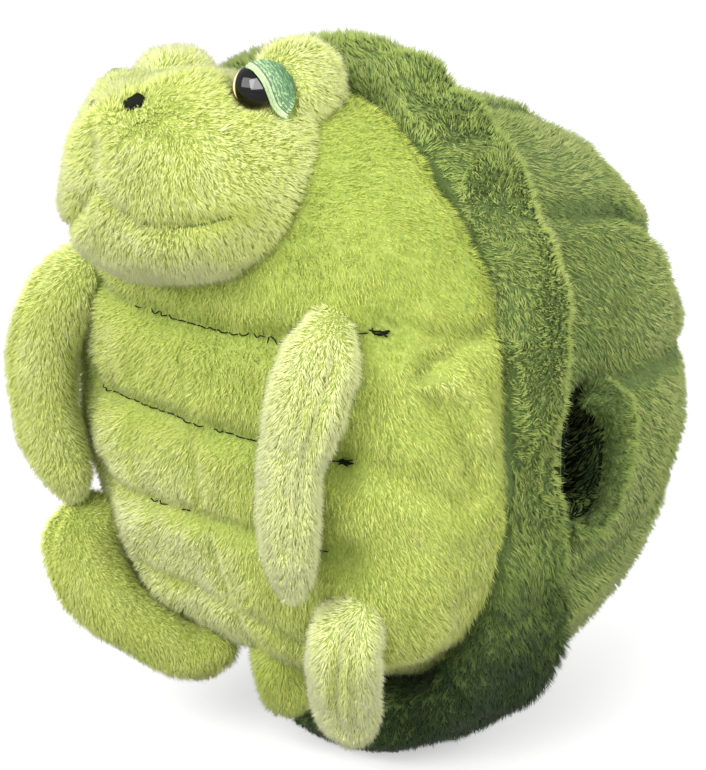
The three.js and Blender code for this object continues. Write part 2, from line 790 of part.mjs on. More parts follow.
const tunnelCut = slotBar(tunnelBreadth, tunnelHeight, overrun);
const liningOuter = slotBar(tunnelBreadth - 2 * fabricGap, tunnelHeight - 2 * fabricGap, overrun);
const liningInner = slotBar(tunnelBreadth - 2 * liningWall, tunnelHeight - 2 * liningWall, 2 * overrun);
const rimCutter = [bodyCutter, domeCutter, below];
place('shell_dome', cut(domeForm(), tunnelCut, below), finish.darkPlush());
place('shell_rim', cut(rimForm(), ...rimCutter), finish.darkPlush());
place('tunnel_lining', cut(keepWithin(liningOuter, domeForm(0, false)), liningInner), finish.lining());
place('cuff_left', cut(cuffForm(1), domeCutter), finish.darkPlush());
place('cuff_right', cut(cuffForm(-1), domeCutter), finish.darkPlush());

// The origin is under the middle of the toy
const box = new THREE.Box3().setFromObject(turtle, true);
turtle.position.set(-(box.min.x + box.max.x) / 2, -(box.min.y + box.max.y) / 2, 0);

export default turtle;
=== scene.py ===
import math
import bpy
import numpy as np
from mathutils import Matrix, Vector, kdtree


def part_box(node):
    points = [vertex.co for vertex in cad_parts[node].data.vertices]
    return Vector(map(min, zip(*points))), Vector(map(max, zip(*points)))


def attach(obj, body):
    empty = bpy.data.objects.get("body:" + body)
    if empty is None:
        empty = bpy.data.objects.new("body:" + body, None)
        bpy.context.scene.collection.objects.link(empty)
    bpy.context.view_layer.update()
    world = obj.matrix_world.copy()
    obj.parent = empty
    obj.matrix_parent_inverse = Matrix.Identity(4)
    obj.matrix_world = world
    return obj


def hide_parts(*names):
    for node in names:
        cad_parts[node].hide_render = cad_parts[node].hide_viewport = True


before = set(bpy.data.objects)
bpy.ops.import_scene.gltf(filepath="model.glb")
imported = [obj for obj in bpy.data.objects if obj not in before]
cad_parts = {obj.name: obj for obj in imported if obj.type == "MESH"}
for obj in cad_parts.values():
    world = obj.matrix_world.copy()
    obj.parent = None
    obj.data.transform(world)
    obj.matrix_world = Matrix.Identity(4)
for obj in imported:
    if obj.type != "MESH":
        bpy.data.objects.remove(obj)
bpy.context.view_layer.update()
scene = bpy.context.scene
scene.view_settings.view_transform = "Standard"
metres = 0.001  # the shapes below are worked out in millimetres
quarterTurn = math.pi / 2
fullTurn = math.pi * 2


# Small tools

def rgb(red, green, blue):  # a colour as a paint program shows it, made linear
    def linear(value):
        value = value / 255
        return value / 12.92 if value <= 0.04045 else ((value + 0.055) / 1.055) ** 2.4
    return (linear(red), linear(green), linear(blue), 1.0)


def deselectAll():
    if bpy.context.object and bpy.context.object.mode != "OBJECT":
        bpy.ops.object.mode_set(mode="OBJECT")
    bpy.ops.object.select_all(action="DESELECT")


def pick(piece):
    deselectAll()
    piece.select_set(True)
    bpy.context.view_layer.objects.active = piece
    return piece


def named(name):  # the object that was just added gets its name, and its place goes into its mesh
    piece = bpy.context.object
    piece.name = name
    piece.data.name = name
    bpy.ops.object.transform_apply(location=True, rotation=True, scale=True)
    return piece


def places(piece):
    values = np.empty(len(piece.data.vertices) * 3)
    piece.data.vertices.foreach_get("co", values)
    return values.reshape(-1, 3)


def setPlaces(piece, values):  # the values are in millimetres
    piece.data.vertices.foreach_set("co", np.ascontiguousarray(values * metres, dtype=np.float32).ravel())
    piece.data.update()


def surface(piece):  # where its points are, in millimetres, and which way they face
    facing = np.empty(len(piece.data.vertices) * 3)
    piece.data.vertex_normals.foreach_get("vector", facing)
    return places(piece) / metres, facing.reshape(-1, 3)


def finishWith(piece, kind, **settings):  # adds a modifier and applies it
    pick(piece)
    modifier = piece.modifiers.new(kind.title(), kind)
    for key, value in settings.items():
        setattr(modifier, key, value)
    bpy.ops.object.modifier_apply(modifier=modifier.name)
    return piece


def editAll():
    bpy.ops.object.mode_set(mode="EDIT")
    bpy.ops.mesh.select_all(action="SELECT")


def subdivide(piece, cuts):
    pick(piece)
    editAll()
    bpy.ops.mesh.subdivide(number_cuts=cuts)
    bpy.ops.object.mode_set(mode="OBJECT")


def steadied(piece):  # Blender puts some faces in another order each run, and pile is sown in that order
    mesh = piece.data
    spots = [tuple(vertex.co) for vertex in mesh.vertices]
    order = sorted(range(len(spots)), key=spots.__getitem__)
    place = {old: new for new, old in enumerate(order)}
    faces = []
    for face in mesh.polygons:
        corners = [(place[vertex], loop) for vertex, loop in zip(face.vertices, face.loop_indices)]
        first = corners.index(min(corners))
        faces.append(corners[first:] + corners[:first])
    faces.sort(key=lambda face: [vertex for vertex, loop in face])
    maps = {layer.name: [tuple(corner.uv) for corner in layer.data] for layer in mesh.uv_layers}
    mesh.clear_geometry()
    rings = [[vertex for vertex, loop in face] for face in faces]
    mesh.from_pydata([spots[old] for old in order], [], rings)
    for name, values in maps.items():
        layer = mesh.uv_layers.get(name) or mesh.uv_layers.new(name=name)
        pairs = [values[loop] for face in faces for vertex, loop in face]
        layer.data.foreach_set("uv", [number for pair in pairs for number in pair])
    pick(piece)
    bpy.ops.object.shade_smooth()
    return piece


def faceOut(piece):
    pick(piece)
    editAll()
    bpy.ops.mesh.remove_doubles(threshold=1e-6)
    bpy.ops.mesh.normals_make_consistent(inside=False)
    bpy.ops.object.mode_set(mode="OBJECT")
    return steadied(piece)


def joined(pieces, name):
    deselectAll()
    for piece in pieces:
        piece.select_set(True)
    bpy.context.view_layer.objects.active = pieces[0]
    bpy.ops.object.join()
    return named(name)


def ballSkin(name, around, along, form):  # a sphere whose every point is moved to a soft form's skin
    deselectAll()
    bpy.ops.mesh.primitive_uv_sphere_add(segments=around, ring_count=along, radius=1)
    piece = named(name)
    x, y, z = places(piece).T
    setPlaces(piece, form(np.arctan2(y, x), np.arcsin(np.clip(z, -1, 1))))
    return faceOut(piece)


def ringSkin(name, around, section, form):  # the same from a ring
    deselectAll()
    bpy.ops.mesh.primitive_torus_add(
        major_segments=around, minor_segments=section, major_radius=1, minor_radius=0.4)
    piece = named(name)
    x, y, z = places(piece).T
    setPlaces(piece, form(np.arctan2(y, x), np.arctan2(z, np.hypot(x, y) - 1)))
    return faceOut(piece)


def signed(value, power):
    return np.sign(value) * np.abs(value) ** power


def bell(distance, width):
    return np.exp(-((distance / width) ** 2))


def smooth(value):
    value = np.clip(value, 0, 1)
    return value * value * (3 - 2 * value)


def drift(where, size, seed):  # a soft random field from -1 to 1, for lumps, folds and colour
    chance = np.random.default_rng(seed)
    waves = chance.normal(size=(3, 10)) * 2.2 / size
    return np.tanh(np.sin(where @ waves + chance.uniform(0, 7, 10)).sum(1) / 2.6)


def sway(where, size, seeds):  # three such fields, as a direction
    return np.stack([drift(where, size, seed) for seed in seeds], 1)


def unit(vectors):
    return vectors / np.maximum(np.linalg.norm(vectors, axis=1, keepdims=True), 1e-9)


def distance(where, spot):
    return np.linalg.norm(where - np.array(spot), axis=1)


def bulged(lumps, where, bulges):  # each bulge: its middle, its width and how far it swells or sinks
    for x, y, z, wide, swell in bulges:
        lumps = lumps + swell * bell(distance(where, [x, y, z]), wide)
    return lumps


def nearLine(where, line):  # distance from points to a row of points, and the share along it
    line = np.asarray(line, float)
    best = np.full(len(where), 1e9)
    share = np.zeros(len(where))
    for i in range(len(line) - 1):
        step = line[i + 1] - line[i]
        t = np.clip((where - line[i]) @ step / (step @ step), 0, 1)
        away = np.linalg.norm(where - line[i] - t[:, None] * step, axis=1)
        nearer = away < best
        best[nearer] = away[nearer]
        share[nearer] = ((i + t) / (len(line) - 1))[nearer]
    return best, share


# Materials

class Wire:  # a socket that can be used in sums
    def __init__(self, sheet, socket):
        self.sheet = sheet
        self.socket = socket

    def maths(self, operation, other):
        return self.sheet.add("ShaderNodeMath", {"operation": operation}, [self, other])

    def __add__(self, other):
        return self.maths("ADD", other)

    def __mul__(self, other):
        return self.maths("MULTIPLY", other)

    def __sub__(self, other):
        return self.maths("SUBTRACT", other)

    def __pow__(self, other):
        return self.maths("POWER", other)

    def __gt__(self, other):
        return self.maths("GREATER_THAN", other)


class Finish:  # one material and the ways to build it
    def __init__(self, name):
        self.material = bpy.data.materials.new(name)
        self.material.use_nodes = True
        self.nodes = self.material.node_tree.nodes
        self.links = self.material.node_tree.links
        self.shader = self.nodes["Principled BSDF"]

    def feed(self, socket, value):
        if isinstance(value, Wire):
            self.links.new(value.socket, socket)
        else:
            socket.default_value = value

    def add(self, kind, settings=None, inputs=None, output=0):
        node = self.nodes.new(kind)
        for key, value in (settings or {}).items():
            if key == "stops":
                ramp = node.color_ramp
                while len(ramp.elements) < len(value):
                    ramp.elements.new(0.5)
                for element, (position, colour) in zip(ramp.elements, value):
                    element.position = position
                    element.color = colour
            else:
                setattr(node, key, value)
        pairs = inputs.items() if isinstance(inputs, dict) else enumerate(inputs or [])
        for key, value in pairs:
            self.feed(node.inputs[key], value)
        return Wire(self, node.outputs[output])

    def mix(self, share, first, second, way="MIX"):
        settings = {"data_type": "RGBA", "blend_type": way}
        return self.add("ShaderNodeMix", settings, {0: share, 6: first, 7: second}, 2)

    def spot(self):
        return self.add("ShaderNodeTexCoord", output="Object")

    def noise(self, scale, detail=2.0, roughness=0.5):
        inputs = {"Vector": self.spot(), "Scale": scale, "Detail": detail, "Roughness": roughness}
        return self.add("ShaderNodeTexNoise", None, inputs, "Fac")

    def bump(self, height, strength, distance):
        inputs = {"Height": height, "Strength": strength, "Distance": distance}
        self.set(Normal=self.add("ShaderNodeBump", None, inputs, "Normal"))

    def map(self, name):  # the two numbers of a piece's own UV map
        vector = self.add("ShaderNodeUVMap", {"uv_map": name})
        x = self.add("ShaderNodeSeparateXYZ", None, [vector], 0)
        y = self.add("ShaderNodeSeparateXYZ", None, [vector], 1)
        return x, y

    def ramp(self, value, stops):
        return self.add("ShaderNodeValToRGB", {"stops": stops}, [value])

    def set(self, **sockets):
        for key, value in sockets.items():
            self.feed(self.shader.inputs[key.replace("_", " ")], value)
        return self


def pileFinish(name, roots, tips, sheen):  # strands: U holds the tone, V runs from root to tip
    finish = Finish(name)
    tone, along = finish.map("OFBake")
    root, tip = (finish.ramp(tone, [(stop, rgb(*colour)) for stop, colour in zip(toneStops, greens)])
                 for greens in (roots, tips))
    # the root colours are darker than the tip colours: painted shade down among the strands
    finish.set(Base_Color=finish.mix(along ** 0.6, root, tip), Roughness=0.8)
    finish.set(Sheen_Weight=sheen, Sheen_Roughness=0.5, Specular_IOR_Level=0.25)
    return finish.material


def backingFinish(name, dark, light):  # the knitted ground that shows between the strands
    finish = Finish(name)
    patches = finish.noise(70, 3)
    strands = finish.noise(480, 5, 0.75)
    finish.set(Base_Color=finish.mix(patches * 0.3 + strands * 1.4 - 0.35, dark, light), Roughness=0.95)
    finish.bump(strands + patches * 0.4, 0.9, 0.003)
    return finish.material


toneStops = (0.0, 0.35, 0.7, 1.0)
# each root green is darker than its tip green, as painted shade among the strands
lightRoots = [(88, 116, 30), (152, 174, 56), (196, 211, 90), (220, 231, 126)]
lightTips = [(148, 172, 60), (206, 219, 98), (234, 242, 140), (247, 250, 190)]
darkRoots = [(22, 38, 12), (76, 102, 38), (114, 138, 60), (144, 164, 84)]
darkTips = [(46, 72, 24), (140, 162, 78), (182, 196, 108), (214, 222, 142)]
lightPile = pileFinish("light green pile", lightRoots, lightTips, 0.16)
darkPile = pileFinish("dark green pile", darkRoots, darkTips, 0.08)
lightBacking = backingFinish("light green backing", rgb(120, 146, 46), rgb(214, 226, 118))
darkBacking = backingFinish("dark green backing", rgb(40, 62, 22), rgb(134, 158, 84))
print("materials for plush made")


# The torso's own shape, as the frame has it

torso = {
    "height": 346, "width": 270, "depth": 180, "power": 2.25,
    "forward": 11, "lean": 9, "shift": 3.904, "gap": 0.3, "under": 2.6,
}
midHeight = torso["height"] / 2


def leanAt(z):
    return torso["shift"] - torso["forward"] - torso["lean"] * (z - midHeight) / midHeight


belly = {
    "width": 268, "height": 284, "depth": 117, "swell": 48, "square": 2.35, "backRun": 110, "power": 2.4,
    "pinch": 0.24, "rise": 18, "drop": 6, "closeFrom": 0.75,
    "lines": [0.127, -0.035, -0.2], "lift": [10, -3, 0], "reach": [0.77, 0.65, 0.6],
    "lineDepth": 6, "lineWidth": 7, "seamDepth": 3.4, "seamWidth": 4, "knotDepth": 7, "knotWidth": 12,
    "lumps": 2.2, "lumpSize": 42,
    "folds": [  # how deep, how wide, and where each runs
        (7.5, 5, [(122, -91, 221), (126, -81, 228), (128, -69, 234), (127, -55, 237)]),
        (6, 4.5, [(124, -90, 211), (127, -84, 201), (130, -75, 189), (131, -66, 166)]),
        (5, 5, [(107, -102, 239), (116, -94, 240), (123, -83, 237), (127, -70, 236)]),
        (4, 6, [(94, -110, 182), (108, -101, 178), (119, -90, 170), (127, -75, 158)]),
        (2, 6, [(94, -110, 184), (100, -107, 200), (104, -104, 220), (107, -102, 239)]),
        (3.5, 5, [(-60, -101, 96), (-18, -104, 89), (17, -103, 86), (35, -94, 76)]),
        (2, 6, [(-44, -119, 200), (-46, -121, 160), (-42, -116, 120)]),
    ],
    "wedge": [(124, -88, 216), (128, -78, 216), (130, -68, 208), (131, -64, 190)],
    "wedgeRise": 5, "wedgeWidth": 4.5,
    "bulges": [(-92, -99, 142, 46, 8.5), (-86, -82, 78, 40, 5), (-62, -90, 76, 27, 7)],
}


def bellySection(y, grow):
    ahead = -y > belly["swell"]
    run = np.where(ahead, belly["depth"] - belly["swell"], belly["backRun"]) + grow
    share = np.maximum(0, 1 - np.abs((y + belly["swell"]) / run) ** belly["power"]) ** (1 / belly["power"])
    waist = np.where(ahead, 1, 1 - belly["pinch"] * (1 + y / belly["swell"]))
    rise = (belly["rise"] + belly["drop"]) * np.minimum(1, -y / belly["swell"]) - belly["drop"]
    halfX = (belly["width"] / 2 + grow) * share * waist
    return halfX, (belly["height"] / 2 + grow) * share, midHeight + rise


def bellyForm(grow):
    def form(turn, lift):
        ahead = np.sin(np.maximum(lift, 0))
        behind = -lift / quarterTurn
        back = np.clip(behind / belly["closeFrom"], 0, 1)
        close = 1 - np.clip((behind - belly["closeFrom"]) / (1 - belly["closeFrom"]), 0, 1)
        crown = belly["depth"] - belly["swell"] + grow
        y = np.where(lift > 0, -belly["swell"] - crown * ahead, -belly["swell"] * (1 - back))
        halfX, halfZ, middle = bellySection(y, grow)
        x = halfX * close * signed(np.cos(turn), 2 / belly["square"])
        z = middle + halfZ * close * signed(np.sin(turn), 2 / belly["square"])
        return np.stack([x, y + leanAt(z), z], 1)
    return form


def insideBelly(where, grow):  # true for points in millimetres that lie in the belly's cushion
    y = where[:, 1] - leanAt(where[:, 2])
    halfX, halfZ, middle = bellySection(np.minimum(y, 0), grow)
    across = np.abs(where[:, 0]) / np.maximum(halfX, 1e-3)
    up = np.abs(where[:, 2] - middle) / np.maximum(halfZ, 1e-3)
    return (across ** belly["square"] + up ** belly["square"] < 1) & (y < grow) & (y > -belly["depth"] - grow)


def bellySurface(x, z):
    near, far = -belly["depth"] - 10.0, -belly["swell"] * 0.2
    power = belly["square"]
    for step in range(40):
        y = (near + far) / 2
        halfX, halfZ, middle = (value[0] for value in bellySection(np.array([y]), 0.0))
        inside = halfX > 0 and (abs(x) / halfX) ** power + (abs(z - middle) / halfZ) ** power < 1
        near, far = (near, y) if inside else (y, far)
    return near + leanAt(z)


lineHeights = [midHeight + belly["rise"] + share * belly["height"] for share in belly["lines"]]
lineReaches = [share * belly["width"] / 2 for share in belly["reach"]]


def lineRise(number, x):  # the stitched lines climb a little toward the sides
    return belly["lift"][number] * smooth((np.abs(x) - 45) / 60)


def bellyDraw(x, z):  # how far stitching pulls the belly in
    draw = np.zeros(len(x))
    for number, (base, reach) in enumerate(zip(lineHeights, lineReaches)):
        height = base + lineRise(number, x)
        past = np.maximum(0, np.abs(x) - reach)
        line = belly["lineDepth"] * bell(z - height, belly["lineWidth"]) * bell(past, belly["lineWidth"])
        knot = bell(np.hypot(np.abs(x) - reach, z - height), belly["knotWidth"])
        draw = np.maximum(np.maximum(draw, line), belly["knotDepth"] * knot)
    return np.maximum(draw, belly["seamDepth"] * bell(x, belly["seamWidth"]))


dome = {
    "inset": 16, "topShare": 0.94, "lines": [6, 40, 74, 106, 140, 174, 208, 240, 270, 300, 332], "ring": 0.62,
    "lineDepth": 5.5, "lineWidth": 6.5, "fade": 0.16, "lumps": 1.4, "lumpSize": 38,
    "dents": [(58, 144, 213, 22, -6)],
}
domeHalfWidth = torso["width"] / 2 - dome["inset"]
domeHalfHeight = torso["height"] / 2 - dome["inset"]


def quilted(angle, lift, width):  # 1 on the dome's quilting lines, from the angle round it and toward the back
    around = np.full(len(angle), 1e9)
    for line in dome["lines"]:
        away = np.abs(angle - math.radians(line)) % fullTurn
        around = np.minimum(around, np.minimum(away, fullTurn - away) * np.cos(lift) * domeHalfWidth)
    along = np.abs(np.maximum(lift, 0) - dome["ring"] * quarterTurn) * torso["depth"]
    return np.maximum(bell(around, width), bell(along, width))


def domeForm(grow):
    def form(turn, lift):
        rear = np.maximum(lift, 0)
        reach = np.cos(lift)
        angle = turn % fullTurn
        onSide = smooth(rear / (dome["fade"] * quarterTurn))
        inset = grow - dome["lineDepth"] * onSide * quilted(angle, lift, dome["lineWidth"])
        top = np.where(angle < math.pi, dome["topShare"], 1)
        z = midHeight + (domeHalfHeight + inset) * top * reach * signed(np.sin(angle), 2 / torso["power"])
        y = torso["gap"] - grow + (torso["depth"] + inset + grow) * np.sin(rear)
        x = (domeHalfWidth + inset) * reach * signed(np.cos(angle), 2 / torso["power"])
        return np.stack([x, y + leanAt(z), z], 1)
    return form


rim = {
    "thickness": 38, "roll": 54, "forward": 15, "footRoll": 84, "pinch": 11, "footSharp": 6, "pocketSharp": 10,
    "square": 0.78, "footSquare": 0.5, "cut": 1.2, "puckers": 1.8, "lumps": 2.6,
    "pleats": [(-52, 4.5, 6), (-69, 3, 5), (36, 2, 6), (62, 2.5, 6), (118, 2, 6), (-128, 3.5, 6), (203, 2, 6)],
    "waves": [(232, 26, 4.5), (163, 19, -13), (112, 30, -3)],
    "corners": [(100, 14, 40, 34, 7), (64, -52, 12, 30, -5)],
}


def rimForm(under):
    def form(turn, around):
        foot = np.maximum(0, -np.sin(turn)) ** rim["footSharp"]
        beside = np.abs(np.cos(turn)) ** rim["pocketSharp"]
        square = rim["square"] + (rim["footSquare"] - rim["square"]) * foot
        halfRoll = (rim["roll"] + (rim["footRoll"] - rim["roll"]) * foot - rim["pinch"] * beside) / 2
        middle = -rim["forward"] - rim["pinch"] * beside / 2
        across, up = signed(np.cos(turn), 2 / torso["power"]), signed(np.sin(turn), 2 / torso["power"])
        power = torso["power"] - 1
        out = unit(np.stack([signed(across, power) / torso["width"], signed(up, power) / torso["height"]], 1))
        half = rim["thickness"] / 2
        inward = half - signed(np.cos(around), square) * (half - under)
        z = midHeight - rim["cut"] + up * midHeight - out[:, 1] * inward
        y = middle + signed(np.sin(around), square) * (halfRoll - under) + leanAt(z)
        return np.stack([across * torso["width"] / 2 - out[:, 0] * inward, y, np.maximum(z, 1.0)], 1)
    return form


tunnel = {
    "breadth": 31, "height": 64, "behind": 4, "drop": 12, "square": 0.6,
    "cuff": 11, "cuffLean": 5, "cuffSweep": 108, "droop": 10,
    "cuffSwell": (0.8, 1, 1.1, 1.25, 1.45, 1.7, 1.9, 1.8, 1.2),
}
tunnelZ = midHeight - tunnel["drop"]
tunnelY = leanAt(tunnelZ) + tunnel["behind"] + tunnel["breadth"] / 2


def inTunnel(where, grow):
    y = np.abs(where[:, 1] - tunnelY) / (tunnel["breadth"] / 2 + grow)
    z = np.abs(where[:, 2] - tunnelZ) / (tunnel["height"] / 2 + grow)
    return y ** (2 / tunnel["square"]) + z ** (2 / tunnel["square"]) < 1


# The pile

strandsPerPiece = 48000
rootDepth = 0.8  # how far a strand's foot sits under the skin
lengthSpread = 0.16
leastRise = 0.12  # no strand lies flatter on the skin than this
middleTone, patchTone = 0.55, 0.06
commonLook = {
    "flat": 0.5, "wander": 0.16, "jitter": 0.16, "whorl": 22, "clump": 0.42, "perClump": 12, "fleck": 0.05,
}


def pile(skin, finish, changes, comb, tone=None, cover=None, trim=None):
    look = dict(commonLook, **changes)
    strands, seed = look["strands"], look["seed"]
    mesh = skin.data
    mesh.calc_loop_triangles()
    corners = np.empty(len(mesh.loop_triangles) * 3, dtype=np.int64)
    mesh.loop_triangles.foreach_get("vertices", corners)
    corners = corners.reshape(-1, 3)
    spots, facing = surface(skin)
    a, b, c = spots[corners[:, 0]], spots[corners[:, 1]], spots[corners[:, 2]]
    area = np.linalg.norm(np.cross(b - a, c - a), axis=1)
    share = area * (cover((a + b + c) / 3, facing[corners].mean(1)) if cover else 1)
    chance = np.random.default_rng(seed)
    chosen = corners[chance.choice(len(corners), strands, p=share / share.sum())]
    first, second = chance.random(strands), chance.random(strands)
    over = first + second > 1
    first[over], second[over] = 1 - first[over], 1 - second[over]
    weights = np.stack([1 - first - second, first, second], 1)[:, :, None]
    root = (spots[chosen] * weights).sum(1)
    out = unit((facing[chosen] * weights).sum(1))
    lay = comb(root)
    lay = unit(lay - out * (lay * out).sum(1, keepdims=True))
    wander = sway(root, look["whorl"], range(seed + 1, seed + 4))
    jitter = chance.normal(size=root.shape)
    aim = out * (1 - look["lean"]) + lay * look["lean"] + wander * look["wander"]
    aim = unit(aim + jitter * look["jitter"])
    aim = unit(aim + out * np.maximum(0, leastRise - (aim * out).sum(1, keepdims=True)))
    length = look["length"] * np.clip(chance.normal(1, lengthSpread, strands), 0.5, 1.5)
    if trim:
        length = length * trim(root)
    tip = root + aim * length[:, None]
    heads = strands // look["perClump"]
    tree = kdtree.KDTree(heads)
    for i in range(heads):
        tree.insert(root[i], i)
    tree.balance()
    near = np.array([tree.find(spot)[1] for spot in root])
    held = np.clip(look["clump"] * (0.6 + 0.6 * chance.random(strands)), 0, 0.95)[:, None]
    gathered = root[near] + aim[near] * length[:, None]
    tip = tip + (gathered - tip) * held
    toneOf = middleTone + patchTone * drift(root, look["patch"], seed + 9)
    toneOf = toneOf + look["fleck"] * chance.normal(size=heads)[near]
    toneOf = toneOf + look["fleck"] * chance.normal(size=strands) + (tone(root) if tone else 0)
    toneOf = np.clip(toneOf, 0.01, 0.99)
    along = unit(tip - root)
    side = unit(np.cross(along, out) + 1e-6)
    rise = np.cross(side, along)
    half = look["width"] / 2 * (0.75 + 0.5 * chance.random(strands))[:, None]
    base = root - out * rootDepth
    twist = chance.uniform(-0.6, 0.6, strands)[:, None]
    broad = half * (side * np.cos(twist) + rise * np.sin(twist))
    back = base + half * look["flat"] * (rise * np.cos(twist) - side * np.sin(twist))
    order = np.argsort(root[:, 2], kind="stable")
    parts = math.ceil(strands / strandsPerPiece)
    for part, chunk in enumerate(np.array_split(order, parts)):
        name = skin.name.replace("skin", "pile") + (f"_{part + 1}" if parts > 1 else "")
        corners = np.stack([base + broad, base - broad, back, tip], 1)[chunk]
        strandMesh(name, corners, toneOf[chunk], finish, skin)
    print(skin.name, "has", strands, "strands")


def strandMesh(name, corners, tone, finish, skin):  # each strand is a spike of three long faces and a foot
    count = len(tone)
    mesh = bpy.data.meshes.new(name)
    spots = corners.reshape(-1, 3) * metres
    start = (np.arange(count) * 4)[:, None, None]
    faces = (np.array([[1, 0, 3], [2, 1, 3], [0, 2, 3], [0, 1, 2]])[None] + start).reshape(-1)
    mesh.vertices.add(count * 4)
    mesh.vertices.foreach_set("co", spots.astype(np.float32).ravel())
    mesh.loops.add(len(faces))
    mesh.loops.foreach_set("vertex_index", faces.astype(np.int32))
    mesh.polygons.add(count * 4)
    mesh.polygons.foreach_set("loop_start", np.arange(0, len(faces), 3, dtype=np.int32))
    mesh.update(calc_edges=True)
    mesh.polygons.foreach_set("use_smooth", np.ones(count * 4, dtype=bool))
    layer = mesh.uv_layers.new(name="OFBake")
    corner = np.stack([tone - 0.004, tone + 0.004, tone, tone], 1)
    height = np.tile(np.array([0.0, 0.0, 0.05, 1.0]), (count, 1))
    uv = np.stack([corner, height], 2).reshape(-1, 2)[faces]
    layer.data.foreach_set("uv", uv.astype(np.float32).ravel())
    mesh.validate()
    piece = bpy.data.objects.new(name, mesh)
    scene.collection.objects.link(piece)
    mesh.materials.append(finish)
    dress(piece, skin["body"], skin["slot"])


def dress(piece, body, slotName, material=None, nodes=()):
    piece["body"], piece["slot"] = body, slotName
    if material:
        piece.data.materials.clear()
        piece.data.materials.append(material)
    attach(piece, body)
    if nodes:
        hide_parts(*nodes)
    return piece


# Belly

def onWedge(where):  # a small fold between two others that catches the light
    return bell(nearLine(where, belly["wedge"])[0], belly["wedgeWidth"])


skin = ballSkin("body_skin", 176, 116, bellyForm(-torso["under"]))
spots, facing = surface(skin)
front = smooth((-(spots[:, 1] - leanAt(spots[:, 2])) - belly["swell"] * 0.7) / 25)
draw = bellyDraw(spots[:, 0], spots[:, 2]) * front
for deep, wide, line in belly["folds"]:
    draw = np.maximum(draw, deep * bell(nearLine(spots, line)[0], wide))
lumps = belly["lumps"] * drift(spots, belly["lumpSize"], 5) + 0.8 * drift(spots, 16, 6)
lumps = lumps + belly["wedgeRise"] * onWedge(spots)
lumps = bulged(lumps, spots, belly["bulges"])  # the stuffing sags to one side
setPlaces(skin, spots + facing * (lumps - draw - 0.5)[:, None])
dress(skin, "torso", "light_plush", lightBacking, ["body"])
bodySkin = skin


def bellyComb(where):
    lay = np.stack([where[:, 0] / 110, np.full(len(where), 0.1), (where[:, 2] - midHeight) / 260 - 0.8], 1)
    return lay + 0.3 * sway(where, 60, (11, 11, 12)) * np.array([1, 0, 1])


def frontDraw(where):
    return bellyDraw(where[:, 0], where[:, 2]) * (where[:, 1] < -70)


def bellyTone(where):  # painted shade in seams and folds, a painted highlight on the wedge fold, painted light low on the right, and darker toward the bottom, the sides and the top
    drawn = frontDraw(where) / 7
    for deep, wide, line in belly["folds"]:
        drawn = np.maximum(drawn, 0.9 * bell(nearLine(where, line)[0], wide * 0.7))
    low = smooth((90 - where[:, 2]) / 60) * 0.06
    side = smooth((np.abs(where[:, 0]) - 100) / 35) * 0.1
    # pale is painted light over the lower right of the belly
    pale = 0.36 * smooth((60 - where[:, 0]) / 90) * smooth((185 - where[:, 2]) / 45)
    top = 0.24 * smooth((where[:, 2] - 215) / 60)
    return 0.2 * onWedge(where) + pale + 0.05 - 0.38 * drawn - low - side - top


def bellyCover(where, facing):
    behind = where[:, 1] - leanAt(where[:, 2]) > -8
    return np.where(behind, 0.02, 1.0)


def bellyTrim(where):
    return 1 - 0.35 * frontDraw(where) / 6


bellyPile = {
    "seed": 21, "strands": 122000, "length": 4.5, "width": 0.56, "lean": 0.55,
    "wander": 0.12, "jitter": 0.15, "clump": 0.34, "patch": 26,
}
pile(skin, lightPile, bellyPile, bellyComb, bellyTone, bellyCover, bellyTrim)
print("belly done")


# Shell dome, rim, tunnel and cuffs

def tunnelBar(name, breadth, height, length, ends="NGON"):  # a rounded slot from side to side
    deselectAll()
    bpy.ops.mesh.primitive_cylinder_add(vertices=56, radius=1, depth=2, end_fill_type=ends)
    bar = named(name)
    spot = places(bar)
    turn = np.arctan2(spot[:, 1], spot[:, 0])
    y = tunnelY + signed(np.cos(turn), tunnel["square"]) * breadth / 2
    z = tunnelZ + signed(np.sin(turn), tunnel["square"]) * height / 2
    setPlaces(bar, np.stack([spot[:, 2] * length / 2, y, z], 1))
    return faceOut(bar)


skin = ballSkin("shell_dome_skin", 128, 96, domeForm(-torso["under"]))
spots, facing = surface(skin)
rearward = smooth((spots[:, 1] - leanAt(spots[:, 2])) / 20)
lumps = dome["lumps"] * drift(spots, dome["lumpSize"], 15) + 0.9 * drift(spots, 15, 16)
lumps = bulged(lumps, spots, dome["dents"])
setPlaces(skin, spots + facing * ((lumps - 1) * rearward)[:, None])
bar = tunnelBar("tunnel cut", tunnel["breadth"], tunnel["height"], 400)
finishWith(skin, "BOOLEAN", operation="DIFFERENCE", solver="MANIFOLD", object=bar)
print(skin.name, "is cut, faces left:", len(steadied(skin).data.polygons))
bpy.data.objects.remove(bar, do_unlink=True)
dress(skin, "torso", "dark_plush", darkBacking, ["shell_dome"])


def domeComb(where):
    away = where - np.array([0, 60, midHeight + 40])
    lay = unit(away * np.array([1, 0.6, 1])) + np.array([0, 0.5, -0.5])
    return lay + 0.4 * sway(where, 50, (31, 32, 33))


def domeDrawn(where):
    angle = np.arctan2(where[:, 2] - midHeight, where[:, 0] * domeHalfHeight / domeHalfWidth) % fullTurn
    lift = np.arcsin(np.clip((where[:, 1] - leanAt(where[:, 2])) / torso["depth"], 0, 1))
    return quilted(angle, lift, 4.5) * smooth(lift / 0.3)


def domeTrim(where):
    return 1 - 0.45 * domeDrawn(where)


def domeTone(where):
    # painted shade in the quilting lines and round the mouth of the hand tunnel
    mouth = np.hypot(where[:, 1] - tunnelY, 0.6 * (where[:, 2] - tunnelZ))
    shade = bell(np.maximum(0, mouth - 20), 14) * (np.abs(where[:, 0]) > 60)
    return 0.14 - 0.5 * domeDrawn(where) - 0.18 * shade


